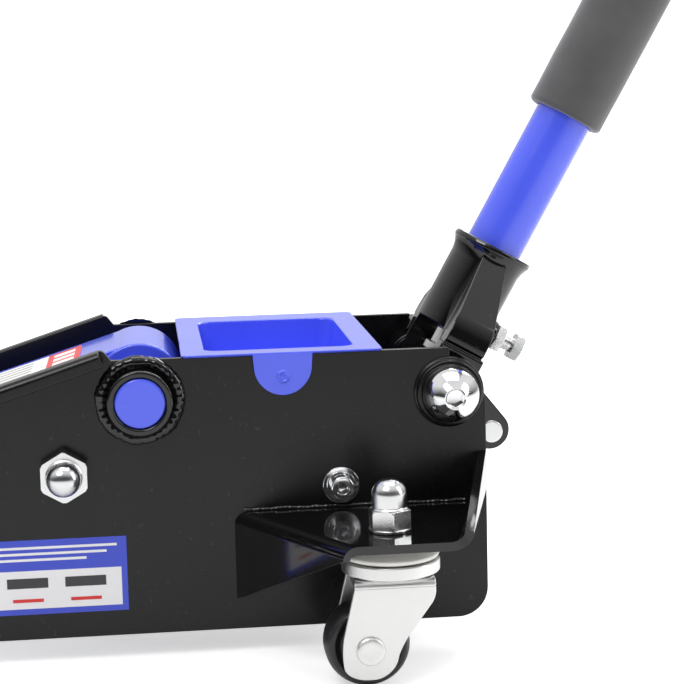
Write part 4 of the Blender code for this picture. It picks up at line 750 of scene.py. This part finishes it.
def makeSocket():
    look = socketLook
    piece = bmesh.new()
    rim, bore = look["rim"], look["bore"]
    trumpet = [(bore, look["bottom"], 0.0003), (look["radius"], look["bottom"], 0.0012),
               (look["radius"], rim - 0.0095, 0.0035), (look["rimRadius"], rim - 0.0042, 0.0008),
               (look["rimRadius"] + 0.0008, rim - 0.0030, 0.0010), (look["rimRadius"] + 0.0002, rim, 0.0012),
               (look["radius"] - 0.0005, rim, 0.0010), (bore, rim - 0.0042, 0.0008)]
    joinShape(piece, turnedOf(trumpet, 0, 96), upHandle(0))
    yoke, pinBore = look["yoke"], look["pinBore"]
    inner = yoke - look["cheek"]
    for side in (-1, 1):
        across = Vector((0, side, 0))
        place = axes(pivot, across, alongHandle)
        cheek = [(0.010, 0.0812, 0), (0.0240, 0.0812, 0.0012), (yoke, 0.0385, 0.0100), (yoke, 0.0260, 0.0010),
                 (yoke - 0.0020, 0.0255, 0.0006), (yoke - 0.0020, -0.010, 0.003), (inner, -0.010, 0.003),
                 (inner, 0.026, 0.014), (0.010, 0.056, 0)]
        shape = plateOf(cheek, look["depth"], 0.0014, 10)
        for vert in shape.verts:  # narrower towards the rim
            vert.co.z *= 1 - 0.36 * min(1, max(0, (vert.co.y - 0.040) / 0.041))
        joinShape(piece, shape, place)
        # block where the cheek turns down to the pivot
        block = [(inner + 0.001, 0.0140, 0.001), (yoke + 0.0008, 0.0140, 0.001),
                 (yoke + 0.0008, 0.0245, 0.002), (inner + 0.001, 0.0245, 0.001)]
        joinShape(piece, plateOf(block, look["depth"] + 0.0030, 0.0010), place)
        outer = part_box("handle_socket")[1].y - inner - 0.0004
        boss = [(pinBore, 0, 0.0004), (look["boss"], 0, 0.0006), (look["boss"], outer, 0.0010),
                (pinBore, outer, 0.0004)]
        joinShape(piece, turnedOf(boss), facing((pivot.x, side * (inner + 0.0004), pivot.z), (0, side, 0)))
        toRoller = middleOf("pump_roller") - pivot
        toRoller.y = 0
        tip = toRoller.length + 0.0105
        lug = [(-0.0155, 0.0155, 0.0145), (0.010, 0.0155, 0.006), (tip, 0.0105, 0.0100),
               (tip, -0.0105, 0.0100), (0.010, -0.0155, 0.006), (-0.0155, -0.0155, 0.0145)]
        middle = Vector((pivot.x, side * (inner + 0.0052), pivot.z))
        joinShape(piece, plateOf(lug, 0.010, 0.0010, 12),
                  axes(middle, toRoller, Vector((0, 1, 0)).cross(toRoller)))
    # pad that the set bolt runs through
    pad = [(0.0054, 0, 0.0004), (0.0098, 0, 0), (0.0088, 0.0050, 0.0010), (0.0054, 0.0050, 0.0004)]
    joinShape(piece, turnedOf(pad), behind(look["radius"] - 0.0013))
    makePiece(piece, "socketCasting", "blackGloss", "handle_socket", ["handle_socket"], 40)
    makeSetBolt()


setBoltLook = {"radius": 0.0046, "head": 0.0400, "headHeight": 0.0065, "nut": 0.0273, "nutHeight": 0.006,
               "flats": 0.016, "threadFrom": 0.0270, "pitch": 0.0008, "threads": 13}


def behind(distance):
    # outwards along the set bolt, from the middle of the socket's tube
    height = (middleOf("set_nut") - pivot).dot(alongHandle)
    return facing(pivot + alongHandle * height + behindHandle * distance, behindHandle)


def makeSetBolt():
    look = setBoltLook
    piece = bmesh.new()
    start = socketLook["bore"] + 0.0006
    joinShape(piece, barOf(look["radius"], look["head"] - start + 0.001), behind(start))
    # thread ridges between the nut and the head
    for turn in range(look["threads"]):
        ridge = [(0.0043, 0, 0), (0.0050, 0.0004, 0.0001), (0.0043, 0.0008, 0), (0.0040, 0.0004, 0)]
        joinShape(piece, turnedOf(ridge, 0, 32), behind(look["threadFrom"] + turn * look["pitch"]))
    sixth = Matrix.Rotation(math.pi / 6, 4, "Z")
    joinShape(piece, hexOf(look["flats"], look["headHeight"], 0.0010), behind(look["head"]) @ sixth)
    makePiece(piece, "setBolt", "zincPlate", "handle_socket", ["set_bolt"])
    nut = bmesh.new()
    joinShape(nut, hexOf(look["flats"], look["nutHeight"], 0.0010), behind(look["nut"]) @ sixth)
    makePiece(nut, "setNut", "zincPlate", "handle_socket", ["set_nut"])


# handle
handleLook = {"lower": (0.031, 0.591, 0.0180), "upper": (0.510, 1.124, 0.0156), "wall": 0.002,
              "sleeve": (0.1819, 0.4819, 0.0245), "sleeveWaver": 0.00025, "grip": (0.992, 1.132, 0.0190),
              "flange": 0.0020, "ribs": 14, "ribStep": 0.0082}


def makeHandle():
    look = handleLook
    for name, node, key in (("lowerTube", "handle_tube_lower", "lower"),
                            ("upperTube", "handle_tube_upper", "upper")):
        start, end, radius = look[key]
        inner, long = radius - look["wall"], end - start
        piece = bmesh.new()
        tube = [(inner, 0, 0.0004), (radius, 0, 0.0005), (radius, long, 0.0007), (inner, long, 0.0004)]
        joinShape(piece, turnedOf(tube, 0, 96), upHandle(start))
        makePiece(piece, name, "blueGloss", "handle", [node])
    start, end, radius = look["sleeve"]
    foam = bmesh.new()
    inner = look["lower"][2] + 0.0002
    joinShape(foam, sleeveOf(inner, radius, 0, end - start, 0.0012, 0.0030, 96), upHandle(start))
    rings = [edge for edge in foam.edges if edge.calc_length() > 0.1]
    bmesh.ops.subdivide_edges(foam, edges=rings, cuts=60, use_grid_fill=False)
    for vert in foam.verts:
        vert.co += vert.normal * look["sleeveWaver"] * noise.noise(vert.co * 40)
    sleeve = makePiece(foam, "foamSleeve", "foam", "handle", ["foam_sleeve"], 60)
    start, end, radius = look["grip"]
    grip = bmesh.new()
    hold, brim, long = look["upper"][2] + 0.0003, radius + look["flange"], end - start
    profile = [(0, long, 0), (radius, long, 0.0040), (radius, 0.0062, 0.0010), (brim, 0.0050, 0.0008),
               (brim, 0, 0.0012), (hold, 0, 0.0005), (hold, long - 0.0075, 0), (0, long - 0.0075, 0)]
    joinShape(grip, turnedOf(profile, 0, 96), upHandle(start))
    for row in range(look["ribs"]):  # low grip ribs
        rib = [(radius - 0.0005, 0, 0), (radius + 0.0006, 0.0012, 0.0006), (radius + 0.0006, 0.0030, 0.0006),
               (radius - 0.0005, 0.0042, 0)]
        joinShape(grip, turnedOf(rib), upHandle(start + 0.016 + row * look["ribStep"]))
    makePiece(grip, "gripRubber", "rubber", "handle", ["handle_grip"], 50)


# casters
casterLook = {"wheel": 0.0243, "half": 0.0130, "fork": 0.0216, "sheet": 0.003, "ring": 0.0279,
              "foot": 0.0168, "front": -0.0232, "rear": 0.0225, "rivet": 0.0082, "axle": 0.0038,
              "stud": 0.005, "studBore": 0.0056}


def makeCaster(label):
    look = casterLook
    race = middleOf("caster_race_" + label)
    axle = middleOf("caster_wheel_" + label)
    low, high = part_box("caster_race_" + label)
    place = Matrix.Translation((race.x, race.y, 0))
    piece = bmesh.new()
    ring, bore = look["ring"], look["studBore"]
    dish = [(bore, low.z, 0), (ring - 0.0012, low.z, 0.0006), (ring + 0.0002, low.z + 0.0022, 0.0010),
            (ring - 0.0012, low.z + 0.0040, 0.0012), (0.0235, high.z - 0.0012, 0.0014),
            (0.0205, high.z, 0.0006), (bore, high.z, 0)]
    joinShape(piece, turnedOf(dish, 0, 96), place)
    makePiece(piece, "casterRace_" + label, "creamRace", "frame", ["caster_race_" + label])
    makeFork(label, place, race, axle, low.z - 0.0009)
    wheel = bmesh.new()
    half, radius = look["half"], look["wheel"]
    near = [(0.0044, half + 0.0018, 0), (0.0098, half + 0.0018, 0.0006), (0.0104, half - 0.0030, 0.0010),
            (radius - 0.0070, half - 0.0040, 0.0020), (radius - 0.0058, half - 0.0004, 0.0008),
            (radius - 0.0030, half, 0.0010), (radius, half - 0.0052, 0.0035)]
    far = [(r, -h, cut) for r, h, cut in near[::-1]]
    joinShape(wheel, turnedOf(near + far, 0, 96), facing(axle, (0, 1, 0)))
    makePiece(wheel, "casterWheel_" + label, "nylon", "caster_wheel_" + label, ["caster_wheel_" + label], 50)


def makeFork(label, place, race, axle, top):
    # ring, stud, two tines with a rolled crown between them, and the riveted axle
    look = casterLook
    ring, half, foot = look["ring"], look["fork"], look["foot"]
    fork = bmesh.new()
    band = [(0, top, 0), (ring, top, 0.0008), (ring, top - 0.0073, 0.0010), (0.0232, top - 0.0073, 0.0004),
            (0.0225, top - 0.0088, 0.0004), (0, top - 0.0088, 0)]
    joinShape(fork, turnedOf(band, 0, 96), place)
    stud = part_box("caster_fork_" + label)[1].z
    joinShape(fork, barOf(look["stud"], stud - top + 0.001), place @ Matrix.Translation((0, 0, top - 0.001)))
    crown = top - 0.0083
    front, rear = look["front"], look["rear"]
    dx, dz = axle.x - race.x, axle.z
    for way in (-1, 1):
        tine = [(front, crown - 0.0040, 0), (dx - foot, dz, 0.010),
                (dx - foot * 0.80, dz - foot, foot * 0.72), (dx + foot * 0.80, dz - foot, foot * 0.72),
                (dx + foot, dz + 0.0010, 0.010), (rear, crown - 0.0110, 0.004), (rear, crown - 0.0040, 0)]
        middle = race.y + way * (half - look["sheet"] / 2 - 0.0001)
        joinShape(fork, plateOf(tine, look["sheet"], 0.0007, 10),
                  axes((race.x, middle, 0), (1, 0, 0), (0, 0, 1)))
    bridge = [(-half, -0.0045, 0), (half, -0.0045, 0), (half, 0.0004, 0.0040), (-half, 0.0004, 0.0040)]
    joinShape(fork, plateOf(bridge, rear - front, 0.0007),
              axes((race.x + (front + rear) / 2, race.y, crown), (0, 1, 0), (0, 0, 1)))
    rivet = look["rivet"]
    head = [(0, half - 0.001, 0), (rivet, half - 0.001, 0), (rivet, half + 0.0022, 0.0014),
            (rivet - 0.0030, half + 0.0026, 0.0008), (0, half + 0.0023, 0)]
    for way in (-1, 1):
        joinShape(fork, turnedOf(head, 0, 64), facing(axle, (0, way, 0)))
    joinShape(fork, barOf(look["axle"], 2 * half - 0.002),
              facing(axle - Vector((0, half - 0.001, 0)), (0, 1, 0)))
    makePiece(fork, "casterFork_" + label, "pressedZinc", "caster_swivel_" + label, ["caster_fork_" + label])


# front wheels
frontWheelLook = {"bore": 0.0084, "hub": 0.0130, "dish": 0.0255, "rim": 0.0270}


def makeFrontWheel(label, side):
    look = frontWheelLook
    node = "front_wheel_" + label
    low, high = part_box(node)
    width, radius = high.y - low.y, (high.z - low.z) / 2
    bore, hub, dish, rim = look["bore"], look["hub"], look["dish"], look["rim"]
    near = [(bore, 0, 0.0004), (hub, 0, 0.0008), (hub + 0.0005, 0.0032, 0.0012), (dish, 0.0040, 0.0020),
            (rim, 0.0005, 0.0010), (radius - 0.0004, 0.0005, 0.0006), (radius, 0.0030, 0.0012)]
    far = [(r, width - h, cut) for r, h, cut in near[::-1]]
    place = facing((middleOf(node).x, side * min(abs(low.y), abs(high.y)), middleOf(node).z), (0, side, 0))
    piece = bmesh.new()
    joinShape(piece, turnedOf(near + [(radius - 0.0006, width / 2, 0.006)] + far, 0, 96), place)
    makePiece(piece, "frontWheel_" + label, "turnedSteel", node, [node])


# saddle
saddleLook = {"stem": 0.0098, "teeth": 24, "tooth": (0.0016, 0.0034, 0.0012), "ribs": 8, "rib": 0.0012}


def makeSaddle():
    look = saddleLook
    low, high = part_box("saddle")
    top, radius, stem = high.z, (high.x - low.x) / 2, look["stem"]
    profile = [(0, low.z, 0), (stem, low.z, 0.0010), (stem, top - 0.0110, 0),
               (radius - 0.006, top - 0.0110, 0.002), (radius, top - 0.0040, 0.0020),
               (radius, top - 0.0010, 0.0008), (radius - 0.0075, top, 0.0012),
               (radius - 0.0100, top - 0.0060, 0.0012), (0, top - 0.0060, 0)]
    piece = bmesh.new()
    centre = middleOf("saddle")
    place = Matrix.Translation((centre.x, centre.y, 0))
    joinShape(piece, turnedOf(profile, 0, 96), place)
    # grip teeth round the rim
    halfWide, halfLong, thick = look["tooth"]
    for step in range(look["teeth"]):
        turn = Matrix.Rotation(2 * math.pi * step / look["teeth"], 4, "Z")
        joinShape(piece, blockOf(-halfWide, halfWide, -halfLong, halfLong, thick, 0.0005, 0.0003, 2),
                  place @ turn @ Matrix.Translation((0, radius - 0.0052, top - 0.0002)))
    # radial ribs on the floor
    rib = look["rib"]
    for step in range(look["ribs"]):
        turn = Matrix.Rotation(2 * math.pi * step / look["ribs"], 4, "Z")
        joinShape(piece, blockOf(-rib, rib, 0.012, radius - 0.0098, 0.0014, 0.0004, 0.0004, 2),
                  place @ turn @ Matrix.Translation((0, 0, top - 0.0058)))
    makePiece(piece, "saddlePlate", "blackGloss", "saddle", ["saddle"])


# plain label on the left side plate
labelLook = {"x": (-0.160, -0.0113), "z": (0.031, 0.0760), "lines": (0.138, 0.132, 0.120, 0.060),
             "lineStep": 0.0036, "lineHeight": 0.0015, "columns": 4, "columnStep": 0.034}


def makeSideLabel():
    look = labelLook
    piece = bmesh.new()
    x0, x1 = look["x"]
    z0, z1 = look["z"]

    def patch(left, right, low, high, height, material):
        joinShape(piece, blockOf(left, right, low, high, filmThickness),
                  axes(at(0, -plateOuter - height, 0), (1, 0, 0), (0, 0, 1)), material)

    patch(x0, x1, z0, z1, 0.00012, 0)
    patch(x0 + 0.004, x1 - 0.0035, z0 + 0.0035, z0 + 0.0265, 0.00022, 1)
    for row, long in enumerate(look["lines"]):
        low = z1 - 0.0055 - row * look["lineStep"]
        patch(x0 + 0.005, x0 + 0.005 + long, low, low + look["lineHeight"], 0.00024, 1)
    for column in range(look["columns"]):
        left = x0 + 0.010 + column * look["columnStep"]
        patch(left, left + 0.024, z0 + 0.016, z0 + 0.022, 0.00034, 2)
        patch(left + 0.003, left + 0.021, z0 + 0.0075, z0 + 0.0095, 0.00034, 3)
    makePiece(piece, "sideLabel", "labelBlue", "frame", extra=("labelWhite", "labelInk", "labelRed"))


# inner pieces: pins, rods, springs and the power unit
rollerBore = 0.0074


def makePins():
    pins = (("tie_rod", "frame", "zincPlate"), ("front_axle", "frame", "turnedSteel"),
            ("lever_pin", "lift_arm", "zincPlate"), ("saddle_pin", "lift_arm", "zincPlate"),
            ("radius_rod_pin", "saddle_bracket", "zincPlate"), ("crosshead_pin", "ram", "zincPlate"),
            ("roller_pin", "handle_socket", "zincPlate"))
    for node, body, finish in pins:
        reach = reachOf(node)
        piece = bmesh.new()
        joinShape(piece, barOf(reach.z / 2, reach.y, 0.0010), through(node))
        makePiece(piece, node + "_bar", finish, body, [node])
    reach = reachOf("pump_roller")
    roller = bmesh.new()
    joinShape(roller, sleeveOf(rollerBore, reach.z / 2, 0, reach.y, 0.0004, 0.0010), through("pump_roller"))
    makePiece(roller, "rollerSleeve", "turnedSteel", "pump_roller", ["pump_roller"])


springLook = {"turns": 30, "wire": 0.0009, "steps": 14, "flatten": 0.86}


def makeSprings():
    look = springLook
    turns, wire, steps = look["turns"], look["wire"], look["steps"]
    for label in ("left", "right"):
        low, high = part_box("return_spring_" + label)
        middle = (low + high) / 2
        radius = (high.y - low.y) / 2 - wire
        curve = bpy.data.curves.new("coil", "CURVE")
        curve.dimensions = "3D"
        curve.bevel_depth, curve.bevel_resolution, curve.use_fill_caps = wire, 2, True
        line = curve.splines.new("POLY")
        count = turns * steps
        line.points.add(count)
        for index, point in enumerate(line.points):
            turn = 2 * math.pi * index / steps
            point.co = (low.x + wire + (high.x - low.x - 2 * wire) * index / count,
                        middle.y + radius * math.cos(turn),
                        middle.z + radius * look["flatten"] * math.sin(turn), 1)
        made = bpy.data.objects.new("coilGuide", curve)
        bpy.context.scene.collection.objects.link(made)
        bpy.context.view_layer.update()
        mesh = bpy.data.meshes.new_from_object(made.evaluated_get(bpy.context.evaluated_depsgraph_get()))
        bpy.data.objects.remove(made)
        mesh.shade_smooth()
        spring = bpy.data.objects.new("returnSpring_" + label, mesh)
        bpy.context.scene.collection.objects.link(spring)
        mesh.materials.clear()
        mesh.materials.append(finishes["turnedSteel"])
        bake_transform(spring)
        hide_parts("return_spring_" + label)


def refineNodes():
    # the remaining nodes keep their shape, merged and with softened edges
    looks = {"radius_rod": ("radius_rod", "blackGloss"), "saddle_bracket": ("saddle_bracket", "blackGloss"),
             "link_plate_left": ("links", "zincPlate"), "link_plate_right": ("links", "zincPlate"),
             "ram_rod": ("ram", "brightChrome"), "ram_cylinder": ("frame", "turnedSteel"),
             "reservoir_tank": ("frame", "blackGloss"), "power_unit_base": ("frame", "castIron"),
             "filler_plug": ("frame", "rubber"), "pump_cylinder": ("frame", "turnedSteel"),
             "pump_plunger": ("pump_plunger", "brightChrome"),
             "release_valve": ("release_valve", "turnedSteel"),
             "drive_fork": ("handle", "turnedSteel"), "lock_button": ("lock_button", "zincPlate"),
             "axle_clip_left": ("frame", "zincPlate"), "axle_clip_right": ("frame", "zincPlate"),
             "plunger_spring": ("frame", "turnedSteel")}
    for node, (body, finish) in looks.items():
        copy = bmesh.new()
        copy.from_mesh(nodes[node].data)
        bmesh.ops.remove_doubles(copy, verts=copy.verts, dist=1e-5)
        if node != "plunger_spring":
            bmesh.ops.dissolve_limit(copy, angle_limit=math.radians(1), verts=copy.verts, edges=copy.edges)
            softenEdges(copy, 0.0004, 2, 40)
        made = makePiece(copy, node + "_fine", finish, body, [node], 35, node != "plunger_spring")
        if node == "plunger_spring":
            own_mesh(made)


for label, side in bothSides():
    makeSidePlate(label, side)
    makeBracket(label, side)
    makeLiftRing(label, side)
    makeCaster(label)
    makeFrontWheel(label, side)
print("frame and casters made")
makeLiftShaft()
makeFasteners()
makeTray()
makeLiftArm()
makeSocket()
makeHandle()
makeSaddle()
makeSideLabel()
print("outer pieces made")
makePins()
makeSprings()
refineNodes()
print("inner pieces made")


# stage, light and camera
def makeStage():
    shape = bmesh.new()
    bmesh.ops.create_grid(shape, x_segments=1, y_segments=1, size=12)
    mesh = bpy.data.meshes.new("floor")
    shape.to_mesh(mesh)
    shape.free()
    floor = bpy.data.objects.new("floor", mesh)
    bpy.context.scene.collection.objects.link(floor)
    mesh.materials.append(finishes["paleFloor"])


lampLooks = (("keySoftbox", (-0.9, -1.3, 1.9), (0.0, 0.0, 0.1), (1.1, 0.8), 18),
             ("rearSoftbox", (0.9, 1.6, 1.5), (0.0, 0.0, 0.2), (1.4, 0.8), 18),
             ("sideStrip", (1.5, -0.5, 0.8), (0.1, 0.0, 0.15), (0.4, 1.2), 7),
             ("topSoftbox", (0.1, 0.1, 2.2), (0.1, 0.0, 0.0), (1.6, 1.2), 15))


def makeLight(name, place, target, size, power):
    lamp = bpy.data.lights.new(name, "AREA")
    lamp.shape, lamp.size, lamp.size_y, lamp.energy = "RECTANGLE", size[0], size[1], power
    made = bpy.data.objects.new(name, lamp)
    made.location = place
    made.rotation_euler = (Vector(target) - Vector(place)).to_track_quat("-Z", "Y").to_euler()
    bpy.context.scene.collection.objects.link(made)


# a bright wall behind the jack and a dim room in front of it; the camera sees plain white
skyLook = {"slant": (0, 0.35, 1), "rise": (0.05, 0.55), "glow": (0.07, 1.0), "seen": 1.4}


def makeSky():
    world = bpy.data.worlds.new("softSky")
    bpy.context.scene.world = world
    world.use_nodes = True
    tree, link = world.node_tree.nodes, world.node_tree.links.new
    tree.clear()
    place, slant = tree.new("ShaderNodeTexCoord"), tree.new("ShaderNodeVectorMath")
    slant.operation = "DOT_PRODUCT"
    slant.inputs[1].default_value = skyLook["slant"]
    ramp, out = tree.new("ShaderNodeMapRange"), tree.new("ShaderNodeOutputWorld")
    glow, plain = tree.new("ShaderNodeBackground"), tree.new("ShaderNodeBackground")
    choose, path = tree.new("ShaderNodeMixShader"), tree.new("ShaderNodeLightPath")
    ramp.inputs["From Min"].default_value, ramp.inputs["From Max"].default_value = skyLook["rise"]
    ramp.inputs["To Min"].default_value, ramp.inputs["To Max"].default_value = skyLook["glow"]
    link(place.outputs["Generated"], slant.inputs[0])
    link(slant.outputs["Value"], ramp.inputs["Value"])
    link(ramp.outputs[0], glow.inputs["Strength"])
    plain.inputs["Strength"].default_value = skyLook["seen"]
    link(path.outputs["Is Camera Ray"], choose.inputs[0])
    link(glow.outputs[0], choose.inputs[1])
    link(plain.outputs[0], choose.inputs[2])
    link(choose.outputs[0], out.inputs["Surface"])


cameraLook = {"place": (0.0041, -1.1844, 0.3474), "yaw": 5.913, "pitch": 8.2685, "roll": -1.408,
              "lens": 100.0}


def makeCamera():
    look = cameraLook
    yaw, pitch, roll = (math.radians(look[key]) for key in ("yaw", "pitch", "roll"))
    ahead = Vector((math.sin(yaw) * math.cos(pitch), math.cos(yaw) * math.cos(pitch), -math.sin(pitch)))
    level = Vector((math.cos(yaw), -math.sin(yaw), 0))
    above = level.cross(ahead)
    right = level * math.cos(roll) + above * math.sin(roll)
    up = above * math.cos(roll) - level * math.sin(roll)
    data = bpy.data.cameras.new("camera")
    data.lens, data.sensor_width, data.sensor_fit = look["lens"], 36.0, "AUTO"
    data.clip_start, data.clip_end = 0.01, 100
    camera = bpy.data.objects.new("camera", data)
    turn = Matrix((right, up, -ahead)).transposed().to_4x4()
    camera.matrix_world = Matrix.Translation(at(*look["place"])) @ turn
    bpy.context.scene.collection.objects.link(camera)
    bpy.context.scene.camera = camera


makeStage()
makeSky()
for lamp in lampLooks:
    makeLight(*lamp)
makeCamera()
bpy.context.scene.view_settings.view_transform = "Standard"
print("stage ready")
